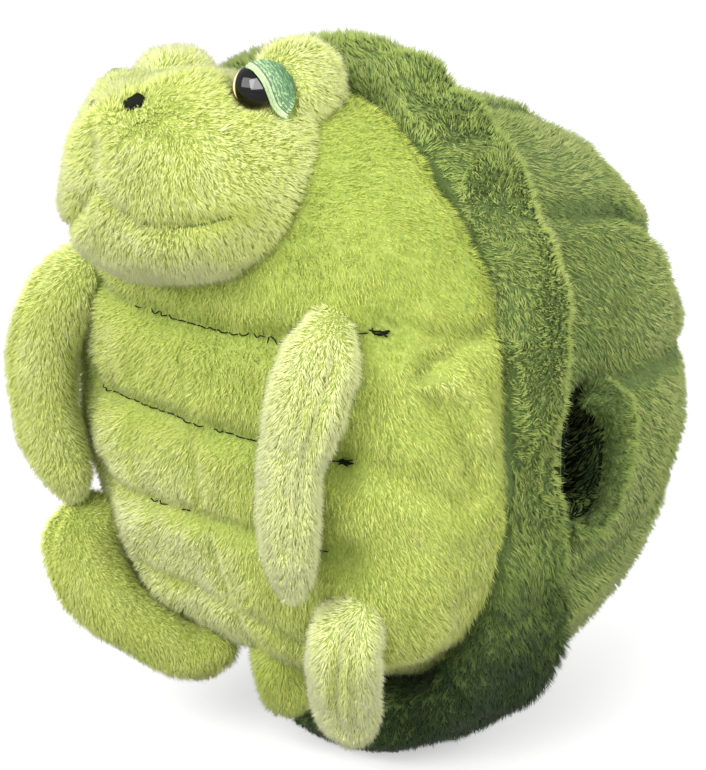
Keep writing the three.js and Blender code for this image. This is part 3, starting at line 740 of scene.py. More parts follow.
def domeCover(where, facing):
    hidden = (where[:, 1] - leanAt(where[:, 2]) < 6) | (inTunnel(where, 1.5) & (np.abs(where[:, 0]) < 130))
    return np.where(hidden, 0.0, 1.0)


domePile = {
    "seed": 41, "strands": 84000, "length": 4.6, "width": 0.74, "lean": 0.56,
    "clump": 0.4, "patch": 24, "fleck": 0.07,
}
pile(skin, darkPile, domePile, domeComb, domeTone, domeCover, domeTrim)
print("shell dome done")

skin = ringSkin("shell_rim_skin", 200, 40, rimForm(torso["under"]))
spots, facing = surface(skin)
angle = np.arctan2((spots[:, 2] - midHeight) * torso["width"] / torso["height"], spots[:, 0])
folds = rim["puckers"] * np.sin(angle * 31 + 2.5 * drift(spots, 60, 18)) * drift(spots, 45, 19)
for middle, depth, wide in rim["pleats"]:  # soft folds across the roll
    away = np.degrees(angle) - middle + (spots[:, 1] + 15) * 0.12
    away = ((away + 180) % 360 - 180) / 180 * math.pi * 150
    folds = folds - depth * bell(away, wide)
lumps = rim["lumps"] * drift(spots, 48, 17) + folds - 1
keep = smooth(spots[:, 2] / 25)
beside = np.clip(1.6 * facing[:, 0] * np.sign(spots[:, 0]), 0, 1)
for raised, wide, swell in rim["waves"]:  # the roll is pinched where the hand goes in
    lumps = lumps + swell * beside * bell(spots[:, 2] - raised, wide)
mirrored = spots * np.where(spots[:, :1] < 0, np.array([[-1, 1, 1]]), 1)
lumps = bulged(lumps, mirrored, rim["corners"])
moved = spots + facing * (lumps * keep)[:, None]
moved[:, 2] = np.maximum(moved[:, 2], 1.0)
setPlaces(skin, moved)
dress(skin, "torso", "dark_plush", darkBacking, ["shell_rim"])


def rimComb(where):
    away = (where - np.array([0, 0, midHeight])) * np.array([1, 0, 1])
    return unit(away) + np.array([0, -0.25, -0.35]) + 0.3 * sway(where, 45, (51, 52, 53))


def rimCover(where, facing):
    away = where * np.array([1, 0, 1]) - np.array([0, 0, midHeight])
    inner = ((unit(away) * facing).sum(1) < -0.9) & (where[:, 1] > -24)
    return np.where(inner | insideBelly(where, -1), 0.0, np.where(where[:, 2] < 3, 0.15, 1.0))


def rimTone(where):
    # painted shade, darker toward the floor; the roll also turns a little darker toward the top
    return 0.08 - 0.78 * smooth((170 - where[:, 2]) / 130) - 0.12 * smooth((where[:, 2] - 270) / 50)


def rimTrim(where):
    return 0.4 + 0.6 * smooth((where[:, 2] - 5) / 16)


rimPile = {
    "seed": 61, "strands": 86000, "length": 5.2, "width": 0.7, "lean": 0.5,
    "whorl": 20, "patch": 22, "fleck": 0.07,
}
pile(skin, darkPile, rimPile, rimComb, rimTone, rimCover, rimTrim)
print("rim done")


def tubeForm(path, halfSide, halfFront, squareness=5.0, swell=(1, 1)):  # a stuffed roll along a row of points
    fine = np.linspace(0, 1, 200)
    line = smoothPath(path, fine)

    def form(turn, lift):
        along = np.clip((1 + np.sin(lift)) / 2, 0.002, 0.998)
        place = np.stack([np.interp(along, fine, line[:, k]) for k in range(3)], 1)
        ahead = np.stack([np.interp(along, fine, np.gradient(line[:, k], fine)) for k in range(3)], 1)
        side, front = acrossPath(unit(ahead))
        full = np.sqrt(np.maximum(0, 1 - np.abs(2 * along - 1) ** squareness))
        full = full * np.interp(along, np.linspace(0, 1, len(swell)), swell)
        sideways = side * (halfSide * full * np.cos(turn))[:, None]
        return place + sideways + front * (halfFront * full * np.sin(turn))[:, None]
    return form


def acrossPath(ahead):  # two directions square to a path's own, the first as near to +X as can be
    side = unit(np.array([[1.0, 0, 0]]) - ahead * ahead[:, :1])
    return side, np.cross(ahead, side)


def smoothPath(path, fine):  # a Catmull-Rom curve through the points, evenly spaced
    path = np.asarray(path, float)
    padded = np.vstack([2 * path[0] - path[1], path, 2 * path[-1] - path[-2]])
    dense = []
    for i in range(1, len(padded) - 2):
        t = np.linspace(0, 1, 40, endpoint=i == len(padded) - 3)[:, None]
        p0, p1, p2, p3 = padded[i - 1:i + 3]
        bend, twist = 2 * p0 - 5 * p1 + 4 * p2 - p3, 3 * p1 - p0 - 3 * p2 + p3
        dense.append(0.5 * (2 * p1 + (p2 - p0) * t + bend * t ** 2 + twist * t ** 3))
    dense = np.vstack(dense)
    run = np.concatenate([[0], np.cumsum(np.linalg.norm(np.diff(dense, axis=0), axis=1))])
    return np.stack([np.interp(fine * run[-1], run, dense[:, k]) for k in range(3)], 1)


def domeReach(y, z):  # how far to the side the dome's skin lies
    share = 1 - ((y - leanAt(z)) / torso["depth"]) ** 2 - ((z - midHeight) / domeHalfHeight) ** 2
    return domeHalfWidth * np.sqrt(np.maximum(share, 0))


def cuffPath(side):
    path = []
    sweep = math.radians(tunnel["cuffSweep"])
    for i in range(9):
        angle = -sweep + i / 8 * 2 * sweep
        y = tunnelY + math.cos(angle) * (tunnel["breadth"] + tunnel["cuff"]) / 2
        z = tunnelZ + math.sin(angle) * (tunnel["height"] + tunnel["cuff"]) / 2
        z -= tunnel["droop"] * max(0, math.sin(angle)) ** 2
        path.append((side * (domeReach(y, z) + tunnel["cuffLean"] - tunnel["cuff"] / 4), y, z))
    return path


cuffPile = {
    "seed": 81, "strands": 5500, "length": 4.4, "width": 0.7, "lean": 0.6, "wander": 0.14,
    "jitter": 0.14, "whorl": 20, "clump": 0.3, "perClump": 8, "patch": 16, "fleck": 0.06,
}


def cuffComb(where):
    return where - np.array([0, tunnelY, tunnelZ])


def cuffTone(where):
    # painted shade where the cuff lies inside the tunnel
    return np.where(inTunnel(where, 2), -0.36, -0.07)


for name, side in (("left", 1), ("right", -1)):
    half = tunnel["cuff"] / 2 - 1.5
    form = tubeForm(cuffPath(side), half, half, swell=tunnel["cuffSwell"])
    skin = ballSkin(f"cuff_{name}_skin", 20, 72, form)
    spots, facing = surface(skin)
    angle = np.arctan2(spots[:, 2] - tunnelZ, spots[:, 1] - tunnelY)
    setPlaces(skin, spots + facing * (0.9 * np.sin(angle * 17))[:, None])
    dress(skin, "torso", "dark_plush", darkBacking, [f"cuff_{name}"])
    pile(skin, darkPile, cuffPile, cuffComb, cuffTone)

# the lining is coloured near black: painted shade in the hollow of the tunnel
liningShadeFinish = Finish("tunnel lining plush")
nap = liningShadeFinish.noise(520, 4, 0.65)
liningShadeFinish.set(Base_Color=liningShadeFinish.mix(nap, rgb(8, 15, 6), rgb(26, 40, 16)))
liningShadeFinish.set(Roughness=0.95, Specular_IOR_Level=0.1)
liningShadeFinish.bump(nap, 0.8, 0.0025)

liningRun, liningPlay = 236, 0.6
breadth, height = tunnel["breadth"] - liningPlay, tunnel["height"] - liningPlay
lining = tunnelBar("tunnel_lining_skin", breadth, height, liningRun, "NOTHING")
subdivide(lining, 6)
spots = places(lining) / metres
spots[:, 0] = spots[:, 0] / (liningRun / 2) * (domeReach(spots[:, 1], spots[:, 2]) - 3)
shrink = 1 - 0.03 * (1 + np.sin(spots[:, 0] / 9))
spots[:, 1] = tunnelY + (spots[:, 1] - tunnelY) * shrink
spots[:, 2] = tunnelZ + (spots[:, 2] - tunnelZ) * shrink
setPlaces(lining, spots)
finishWith(lining, "SOLIDIFY", thickness=0.0016, offset=-1)
bpy.ops.object.shade_smooth()
dress(lining, "torso", "lining", liningShadeFinish.material, ["tunnel_lining"])


def liningComb(where):
    return np.sign(where[:, :1]) * np.array([-1, 0, 0]) + np.array([0, 0, -0.6])


def liningShade(where):
    # the lining's pile is darkened all over: painted shade in the tunnel
    return np.full(len(where), -0.42)


def liningCover(where, facing):  # only the inner face, near both mouths
    toward = (facing * (np.array([0, tunnelY, tunnelZ]) - where * np.array([0, 1, 1]))).sum(1) > 0
    return np.where(toward & (np.abs(where[:, 0]) > 66), 1.0, 0.0)


liningPile = dict(cuffPile, seed=91, strands=5000)
pile(lining, darkPile, liningPile, liningComb, liningShade, liningCover)
print("tunnel done")


# Limbs

def spine(shares):
    half = belly["width"] / 2
    return [(x * half, y * belly["depth"] + torso["shift"], z * torso["height"]) for x, y, z in shares]


tailY = torso["shift"] - 72
# pale is each limb's painted light: highest on the lit left arm and flipper, lower on the right ones, and
# below the middle tone on the tail under the body
limbs = {  # creases: the angle round the limb, how deep and how wide
    "arm_left": {
        "half": 19, "depth": 0.86, "pale": 0.54, "strands": 22000, "seed": 101,
        "swell": (0.62, 1.02, 1.03, 0.84, 0.84, 0.8, 0.6), "creases": [(30, 6, 3), (56, 5, 3)],
        "spine": spine([
            (0.62, -0.926, 0.714), (0.655, -1.06, 0.632), (0.605, -1.125, 0.54),
            (0.575, -1.132, 0.448), (0.56, -1.1, 0.345),
        ]),
    },
    "arm_right": {
        "half": 20.5, "depth": 0.86, "pale": 0.26, "strands": 19000, "seed": 111,
        "swell": (0.62, 1.02, 1.05, 1, 0.98, 0.9, 0.74), "creases": [(95, 2.5, 3)],
        "spine": spine([
            (-0.611, -0.905, 0.714), (-0.755, -1.034, 0.642), (-0.821, -1.098, 0.55),
            (-0.802, -1.098, 0.45), (-0.688, -1.055, 0.356),
        ]),
    },
    "hind_flipper_left": {
        "half": 19, "depth": 0.8, "pale": 0.48, "strands": 16000, "seed": 121,
        "swell": (0.7, 1, 1.04, 1, 0.96, 0.8), "creases": [(38, 2.5, 3), (64, 5, 3)],
        "spine": spine([
            (0.63, -0.797, 0.336), (0.601, -0.894, 0.274), (0.534, -0.851, 0.194),
            (0.448, -0.732, 0.105),
        ]),
    },
    "hind_flipper_right": {
        "half": 22.5, "depth": 0.85, "pale": 0.14, "strands": 21000, "seed": 131,
        "swell": (0.9, 1.06, 1.02, 0.9, 0.86, 0.8), "creases": [(100, 2.2, 3)],
        "spine": spine([
            (-0.707, -0.862, 0.341), (-0.735, -1.013, 0.28), (-0.6, -0.99, 0.204),
            (-0.4, -0.83, 0.151), (-0.248, -0.668, 0.147),
        ]),
    },
    "tail": {
        "half": 17, "depth": 0.85, "pale": -0.12, "strands": 6500, "seed": 141,
        "swell": (0.9, 1, 1, 0.85), "creases": [],
        "spine": [(0, tailY, 70), (0, tailY - 17 / 4, 50), (0, tailY, 27)],
    },
}
creaseWiden = 0.4  # pile lies lower a little past the crease itself
limbPile = {
    "length": 4.5, "width": 0.54, "lean": 0.55, "wander": 0.12,
    "jitter": 0.14, "whorl": 20, "clump": 0.3, "perClump": 10, "patch": 20, "fleck": 0.03,
}


def creaseLine(path, limb, angle):  # a seam down the limb, at an angle round it
    side, front = acrossPath(unit(np.gradient(path, axis=0)))
    reach, turn = limb["half"] - 3.0, math.radians(angle)
    return (path + side * reach * math.cos(turn) + front * reach * limb["depth"] * math.sin(turn))[6:-6:4]


def makeLimb(name, limb):
    half = limb["half"] - torso["under"]
    flat = limb["half"] * limb["depth"] - torso["under"]
    skin = ballSkin(f"{name}_skin", 44, 60, tubeForm(limb["spine"], half, flat, swell=limb["swell"]))
    spots, facing = surface(skin)
    path = smoothPath(limb["spine"], np.linspace(0, 1, 60))

    def creased(where, widen):
        deep = np.zeros(len(where))
        for angle, depth, width in limb["creases"]:
            away, share = nearLine(where, creaseLine(path, limb, angle))
            fade = smooth((0.5 - np.abs(share - 0.5)) / 0.12)
            deep = np.maximum(deep, depth * bell(away, width + widen) * fade)
        return deep

    lumps = 0.9 * drift(spots, 26, limb["seed"]) + 0.5 * drift(spots, 12, limb["seed"] + 3)
    setPlaces(skin, spots + facing * (lumps - creased(spots, 0))[:, None])
    body = f"{name}_group"
    dress(skin, body, "light_plush", lightBacking, [name])
    run = np.array([limb["spine"][-1]], float) - np.array([limb["spine"][0]], float)

    def comb(where):
        axis = path[np.argmin(((where[:, None, :] - path[None]) ** 2).sum(2), 1)]
        return unit(run)[0] * 0.9 + unit(where - axis) * 0.5 + 0.2 * sway(where, 30, (7, 8, 9))

    def inCrease(where):
        return creased(where, creaseWiden) / 6

    def tone(where):
        # painted shade in the creases, added to the limb's painted light level
        return limb["pale"] - 0.5 * inCrease(where)

    def trim(where):
        return 1 - 0.5 * inCrease(where)

    def cover(where, facing):
        return np.where(insideBelly(where, -4), 0.0, 1.0)

    look = dict(limbPile, seed=limb["seed"], strands=limb["strands"])
    pile(skin, lightPile, look, comb, tone, cover, trim)


for name, limb in limbs.items():
    makeLimb(name, limb)
print("limbs done")


# Head

head = {
    "roll": 7, "raise": 291, "power": 2.3, "eyeOut": 49, "eyeForward": 115, "eyeRaise": 329,
    "eyeFacing": (0.72, -0.66, 0.2), "eyeWidth": 19, "eyeDome": 7,
    "lumps": [
        (129, 116, 92, 0, 113, 291), (104, 72, 78, 0, 134, 297),
        (42, 42, 42, 44, 88, 328), (42, 42, 42, -44, 88, 328),
    ],
    "nostrilSide": 15, "nostrilRaise": 329, "noseTip": (0, -168, 330),
    "mouth": {"half": 60, "raise": 275.5, "peak": 18, "peakShare": 0.28, "curl": 4, "curlPower": 6},
    "puffs": [
        (30, -128, 332, 17, 6), (38, -150, 292, 20, 2.5), (22, -163, 305, 14, 2),
        (30, -140, 262, 18, 1), (8, -163, 324, 9, 2.5),
    ],
    "lumpsOneSide": [(-46, -150, 314, 22, -8), (-33, -131, 336, 15, 5)],
}


def superBall(turn, lift, power):  # a ball that is a little square
    d = np.stack([np.cos(lift) * np.cos(turn), np.cos(lift) * np.sin(turn), np.sin(lift)], 1)
    return d / ((np.abs(d) ** power).sum(1) ** (1 / power))[:, None]


def lumpForm(width, length, height, side, forward, raised, grow):
    def form(turn, lift):
        half = np.array([width, length, height]) / 2 + grow
        return superBall(turn, lift, head["power"]) * half + np.array([side, -forward, raised])
    return form


def faceSurface(x, z):
    best = 0.0
    for width, length, height, side, forward, raised in head["lumps"][:2]:
        left = 1 - abs(2 * x / width) ** head["power"] - abs(2 * (z - raised) / height) ** head["power"]
        if left > 0:
            best = min(best, -forward - left ** (1 / head["power"]) * length / 2)
    return best


uprightMiddle = np.array([0, 0, head["raise"]])
rolledMiddle = np.array([0, torso["shift"], head["raise"]])


def turned(degrees, axis):
    return np.array(Matrix.Rotation(math.radians(degrees), 3, axis))


def rolled(where):  # from the head's own upright frame to the toy's
    return (np.asarray(where, float) - uprightMiddle) @ turned(-head["roll"], "Y").T + rolledMiddle


def unrolled(where):
    return (np.asarray(where, float) - rolledMiddle) @ turned(head["roll"], "Y").T + uprightMiddle


def eyeFrame(side):  # the eye's own axes, +Z out of the head, in the head's upright frame
    out, ahead, up = head["eyeFacing"]
    facing = Vector((side * out, ahead, up)).normalized()
    turn = Vector((0, 0, 1)).rotation_difference(facing)
    centre = np.array([side * head["eyeOut"], -head["eyeForward"], head["eyeRaise"]])
    return centre, np.array(turn.to_matrix())


def inEye(where, side):
    centre, axes = eyeFrame(side)
    return (where - centre) @ axes


def fromEye(where, side):
    centre, axes = eyeFrame(side)
    return rolled(np.asarray(where, float) @ axes.T + centre)


def onFace(x, z):
    return (x, faceSurface(x, z), z)


def nostrilSpot(side):
    return np.array(onFace(side * head["nostrilSide"], head["nostrilRaise"]))


def mouthRaise(share):
    mouth = head["mouth"]
    curl = mouth["curl"] * abs(share) ** mouth["curlPower"]
    return mouth["raise"] + mouth["peak"] * bell(share, mouth["peakShare"]) + curl


mouthLine = [onFace(share * head["mouth"]["half"], mouthRaise(share)) for share in np.linspace(-1, 1, 41)]
noseLine = [onFace(0, z) for z in np.linspace(mouthRaise(0) + 1, 326, 9)]

balls = []
for number, lump in enumerate(head["lumps"]):
    balls.append(ballSkin(f"head lump {number}", 64, 48, lumpForm(*lump, -2.5)))
skin = joined(balls, "head_skin")
finishWith(skin, "REMESH", mode="VOXEL", voxel_size=0.0021)
finishWith(skin, "SMOOTH", factor=0.6, iterations=14)
bpy.ops.object.shade_smooth()
spots, facing = surface(skin)
pitFloor, pitFlat, pitBlend = -0.8, 10.5, 2.5
inFront = smooth((-spots[:, 1] - 95) / 20)
mouthAway, mouthShare = nearLine(spots, mouthLine)
draw = 4.8 * bell(mouthAway, 4) * smooth((0.5 - np.abs(mouthShare - 0.5)) / 0.08)
draw = np.maximum(draw, 4 * bell(nearLine(spots, noseLine)[0], 3.6) * inFront)
for side in (1, -1):
    draw = np.maximum(draw, 3.0 * bell(distance(spots, nostrilSpot(side)), 9))
lumps = 1.2 * drift(spots, 30, 71) + 0.7 * drift(spots, 13, 72)
for x, y, z, wide, swell in head["puffs"]:
    lumps = bulged(lumps, spots, [(x, y, z, wide, swell), (-x, y, z, wide, swell)])
lumps = bulged(lumps, spots, head["lumpsOneSide"])
spots = spots + facing * (lumps - draw)[:, None]
for side in (1, -1):  # the head is pressed in where a lens sits
    local = inEye(spots, side)
    reach, out = np.hypot(local[:, 0], local[:, 1]), local[:, 2]
    pit = (reach < pitFlat + pitBlend) & (out > pitFloor) & (out < 22)
    centre, axes = eyeFrame(side)
    sunk = local.copy()
    sunk[:, 2] = np.where(pit, pitFloor + (out - pitFloor) * smooth((reach - pitFlat) / pitBlend), out)
    spots = np.where(pit[:, None], sunk @ axes.T + centre, spots)
setPlaces(skin, rolled(spots))
dress(skin, "head_group", "light_plush", lightBacking, ["head"])
headSkin = skin


def headComb(where):
    own = unrolled(where)
    away = unit(own - np.array(head["noseTip"])) + np.array([0, 0.1, -0.5])
    for side in (1, -1):  # a few strands lie over the lower edge of each lens
        centre, axes = eyeFrame(side)
        close = bell(distance(own, centre) - pitFlat, pitBlend) * (own[:, 2] < centre[2] - 2)
        away = away + 2.2 * unit(centre + axes[:, 2] * 4 - own) * close[:, None]
    return away + 0.25 * sway(own, 34, (73, 74, 75))


def faceMarks(where):  # nearness to mouth, nose seam, nostrils and eyes
    own = unrolled(where)
    mouth = bell(nearLine(own, mouthLine)[0], 4.5)
    seam = bell(nearLine(own, noseLine)[0], 3.5) * (own[:, 1] < -120)
    hole = np.zeros(len(own))
    eyes = np.zeros(len(own))
    for side, cleared in ((1, 7.4), (-1, 4)):
        hole = np.maximum(hole, bell(distance(own, nostrilSpot(side)), cleared))
        x, y, z = inEye(own, side).T
        eyes = np.maximum(eyes, (np.hypot(x, y) < head["eyeWidth"] / 2 - 0.2) & (z > -8))
    return mouth, seam, hole, eyes


def headTone(where):
    # painted shade in the mouth crease, the nose seam and round the nostrils; under is painted light that
    # lifts the shade under the chin; top darkens the top of the head toward the snout's front
    mouth, seam, hole, eyes = faceMarks(where)
    under = 0.35 * smooth((272 - where[:, 2]) / 25)
    top = smooth((where[:, 2] - 312) / 25) * (0.18 * smooth((-105 - where[:, 1]) / 20) - 0.04)
    return 0.3 - 0.4 * mouth - 0.3 * seam - 0.15 * hole + under - top


def headCover(where, facing):
    mouth, seam, hole, eyes = faceMarks(where)
    keep = (1 - eyes) * (1 - smooth((hole - 0.45) / 0.3)) * (1 - lidShare(where))
    return np.where(insideBelly(where, -6), 0.0, keep)


def headTrim(where):
    mouth, seam, hole, eyes = faceMarks(where)
    own = unrolled(where)
    close = np.zeros(len(own))
    for side in (1, -1):
        close = np.maximum(close, bell(np.maximum(0, distance(inEye(own, side), 0) - 11), 7))
    return 1 - 0.4 * np.maximum(np.maximum(mouth * 0.6, hole), close)


lid = {  # its two long edges, in millimetres on the plane of the lens, seen from in front
    "inner": [(-2.4, 8), (0.2, 6), (2.6, 2.4), (4.2, -1.2), (5.2, -5), (6.2, -8.8), (8.4, -12), (11.6, -14.3)],
    "outer": [
        (-2.4, 8), (0, 9.6), (4, 10.2), (8, 9.6), (11.9, 7.4),
        (14.8, 3.2), (16.2, -1.6), (15.9, -6.4), (14.2, -10.8), (11.6, -14.3),
    ],
    "turn": 47.6, "dome": 8.6, "wide": 10.5, "lift": 1.3, "slope": 0.16, "thickness": 1.4, "thread": 1.3,
}


def lidEdge(name, along):
    fine = np.linspace(0, 1, 80)
    line = smoothPath([(x, y, 0.0) for x, y in lid[name]], fine)
    edge = np.stack([np.interp(along, fine, line[:, k]) for k in (0, 1)], 1)
    return edge @ turned(lid["turn"], "Z")[:2, :2].T


def insideOutline(x, y, outline):  # the even and odd crossings test
    inside = np.zeros(len(x), dtype=bool)
    for (ax, ay), (bx, by) in zip(outline, np.roll(outline, -1, axis=0)):
        if ay != by:
            inside ^= ((ay > y) != (by > y)) & (x < (bx - ax) * (y - ay) / (by - ay) + ax)
    return inside


def lidShare(where):  # 1 where an eyelid patch covers the head
    own = unrolled(where)
    along = np.linspace(0, 1, 40)
    outline = np.vstack([lidEdge("inner", along), lidEdge("outer", along)[::-1]])
    covered = np.zeros(len(own))
    for side in (1, -1):
        x, y, z = inEye(own, side).T
        covered = np.maximum(covered, insideOutline(side * x, y, outline) & (z > -12))
    return covered


headPile = {
    "seed": 161, "strands": 65000, "length": 4.6, "width": 0.52, "lean": 0.5,
    "jitter": 0.18, "whorl": 18, "patch": 22,
}
pile(skin, lightPile, headPile, headComb, headTone, headCover, headTrim)
print("head done")


# Eyes, lids, nostrils and mouth

eyeFinish = Finish("glossy toy eye")
crescent, ring = eyeFinish.map("lens")
cream = [
    (0.0, rgb(8, 6, 6)), (0.5, rgb(9, 7, 6)), (0.54, rgb(96, 58, 22)),
    (0.62, rgb(240, 220, 176)), (1.0, rgb(248, 232, 196)),
]
glow = eyeFinish.mix(ring > 0.955, eyeFinish.ramp(crescent, cream), rgb(62, 38, 18))
eyeFinish.set(Base_Color=glow, Roughness=0.05, Specular_IOR_Level=0.34)

lidDepth = 12  # V runs from 0 to 1 over this many millimetres
lidFinish = Finish("satin stitched eyelid")
along, across = lidFinish.map("stitch")
grain = lidFinish.noise(420, 3, 0.7)
turns = across * (lidDepth / lid["thread"] * 6.2832) + grain * 14
threads = lidFinish.add("ShaderNodeMath", {"operation": "SINE"}, [turns])
lidGreens = lidFinish.ramp(across, [
    (0.0, rgb(168, 192, 142)), (0.17, rgb(190, 210, 164)), (0.19, rgb(56, 92, 50)), (0.22, rgb(56, 92, 50)),
    (0.24, rgb(172, 200, 150)), (0.55, rgb(154, 190, 140)), (0.8, rgb(110, 150, 100)), (1.0, rgb(84, 124, 80)),
])
stroke = (threads > 0.2) * (across > 0.23)
darker = lidFinish.mix(stroke * 0.75, lidGreens, rgb(44, 92, 56))
lidFinish.set(Base_Color=darker, Roughness=0.45)
lidFinish.bump(threads + grain, 0.5, 0.0006)

noseFinish = Finish("dark embroidery thread")
grain = noseFinish.noise(900, 3)
noseFinish.set(Base_Color=noseFinish.mix(grain, rgb(4, 6, 3), rgb(22, 28, 14)))
noseFinish.set(Roughness=0.75, Specular_IOR_Level=0.12)
noseFinish.bump(grain, 0.4, 0.0006)

creaseFinish = Finish("olive sewing thread")
grain = creaseFinish.noise(900, 3)
creaseFinish.set(Base_Color=creaseFinish.mix(grain, rgb(62, 84, 28), rgb(108, 130, 48)))
creaseFinish.set(Roughness=0.7, Specular_IOR_Level=0.2)


def setMap(piece, name, values):  # a UV map from one pair of numbers for each vertex
    layer = piece.data.uv_layers.get(name) or piece.data.uv_layers.new(name=name)
    corner = np.empty(len(piece.data.loops), dtype=np.int32)
    piece.data.loops.foreach_get("vertex_index", corner)
    layer.data.foreach_set("uv", np.asarray(values, dtype=np.float32)[corner].ravel())


def makeEye(name, side):
    radius = head["eyeWidth"] / 2
    deselectAll()
    bpy.ops.mesh.primitive_uv_sphere_add(segments=64, ring_count=40, radius=radius)
    eye = steadied(named(f"{name}_lens"))
    editAll()
    bpy.ops.mesh.bisect(plane_co=(0, 0, -0.4), plane_no=(0, 0, 1), clear_inner=True, use_fill=True)
    bpy.ops.mesh.select_all(action="SELECT")
    bpy.ops.transform.resize(value=(1, 1, head["eyeDome"] / radius))
    bpy.ops.object.mode_set(mode="OBJECT")
    finishWith(eye, "BEVEL", width=0.5, segments=3, limit_method="ANGLE")
    local = places(eye)
    lean = np.array([-side * 0.81, -0.58])  # the side of the lens that the pale crescent lies on
    past = np.linalg.norm(local[:, :2] + lean * 6, axis=1) - radius - 4.2
    ring = np.hypot(local[:, 0], local[:, 1]) / radius
    setPlaces(eye, fromEye(local, side))
    setMap(eye, "lens", np.stack([np.clip(0.5 + past / 5, 0, 1), ring], 1))
    faceOut(eye)
    dress(eye, "head_group", "eye_gloss", eyeFinish.material, [name])


def makeLid(name, side):
    deselectAll()
    bpy.ops.mesh.primitive_grid_add(x_subdivisions=90, y_subdivisions=48, size=2)
    patch = named(f"{name}_stitching")
    spot = places(patch)
    along, across = (spot[:, 0] + 1) / 2, (spot[:, 1] + 1) / 2
    inner, outer = lidEdge("inner", along), lidEdge("outer", along)
    flat = inner + (outer - inner) * across[:, None]
    depth = np.linalg.norm(flat - inner, axis=1)
    reach = np.hypot(flat[:, 0], flat[:, 1])
    ridge = 0.14 * np.sin(depth * fullTurn / lid["thread"])
    ridge = ridge + 0.5 * np.sin(np.minimum(1, across * 4) * quarterTurn)
    z = lid["dome"] * np.exp(-((reach / lid["wide"]) ** 2.4)) + lid["lift"] - lid["slope"] * reach + ridge
    setMap(patch, "stitch", np.stack([along, depth / lidDepth], 1))
    setPlaces(patch, fromEye(np.stack([side * flat[:, 0], flat[:, 1], z], 1), side))
    finishWith(patch, "SOLIDIFY", thickness=lid["thickness"] * metres, offset=0)
    faceOut(patch)
    dress(patch, "head_group", "lid_thread", lidFinish.material, [name])


def onSkin(skin, where, lift):  # the nearest place on a skin, raised a little
    hit, spot, out, face = skin.closest_point_on_mesh(Vector(where) * metres)
    return np.array(spot) / metres + np.array(out) * lift


def makeNostril(name, side):
    seat = onSkin(headSkin, rolled(nostrilSpot(side) + np.array([0, 1.5, -0.5])), 1.3 if side > 0 else 0.1)
    turn = turned(-40, "X") @ turned(-side * 16, "Y")

    def form(angle, lift):
        d = superBall(angle, lift, 2.2) * np.array([6.8, 1.6, 4.1])
        d[:, 1] += 0.2 * np.sin(d[:, 0] * 6)
        d[:, 2] += 0.5 * np.sin(d[:, 0] * 0.9)
        return rolled(d @ turn.T) - rolled(np.zeros(3)) + seat
    piece = ballSkin(f"{name}_stitching", 40, 24, form)
    dress(piece, "head_group", "dark_thread", noseFinish.material, [name])


for name, side in (("left", 1), ("right", -1)):
    makeEye(f"eye_{name}", side)
    makeLid(f"eyelid_{name}", side)
    makeNostril(f"nostril_{name}", side)


mouthPath = [onSkin(headSkin, rolled(place) + np.array([0, 5, 0]), 0.2) for place in mouthLine[1:-1]]
mouth = ballSkin("mouth_seam", 10, 120, tubeForm(mouthPath, 0.6, 0.6, 20.0))
dress(mouth, "head_group", "dark_thread", creaseFinish.material, ["mouth_thread"])
print("face done")


# Belly stitches and label

stitch = {
    "length": 6.2, "space": 1.1, "half": 0.32, "dips": ((0, 1.0), (0.35, 1.9), (0.65, 1.9), (1, 1.0)),
    "knotHalf": 0.42, "knotStrands": 7,
}
stitchRuns = [  # how much of the thread shows, where it starts, and whether a knot ends it
    ("upper", 0.85, -52, True), ("middle", 0.95, -90, True), ("lower", 0.3, -90, False),
]


def thread(name, run, half, squareness):  # each place: across, how far out of the skin, and height
    path = [onSkin(bodySkin, (x, bellySurface(x, z) + 7, z), lift) for x, lift, z in run]
    return ballSkin(name, 8, 12, tubeForm(path, half, half, squareness))


def stitchRun(number, name, shown, start, knotted, chance):
    pieces = []
    reach = lineReaches[number]
    x = -reach
    while x < reach - stitch["length"]:
        if chance.random() < shown and x > start:
            run = []
            for share, dip in stitch["dips"]:
                px = x + share * stitch["length"]
                run.append((px, dip, lineHeights[number] + float(lineRise(number, px)) + 0.25 * math.sin(px)))
            pieces.append(thread("stitch", run, stitch["half"], 8.0))
        x += stitch["length"] + stitch["space"] * (0.5 + chance.random())
    for tuft in range(stitch["knotStrands"] if knotted else 0):
        height = lineHeights[number] + float(lineRise(number, reach))
        x, z = reach + chance.uniform(-2.2, 2.2), height + chance.uniform(-0.8, 0.8)
        across, up = chance.uniform(-3.2, 3.2), chance.uniform(-1.2, 1.2)
        ends = [(x - across, 0.2, z - up), (x, 2.2, z), (x + across, 1.2, z + up * 1.5)]
        pieces.append(thread("knot", ends, stitch["knotHalf"], 6.0))
    piece = joined(pieces, f"belly_thread_{name}_stitches")
    dress(piece, "torso", "dark_thread", noseFinish.material, [f"belly_thread_{name}"])


stitchChance = np.random.default_rng(77)
for number, run in enumerate(stitchRuns):
    stitchRun(number, *run, stitchChance)

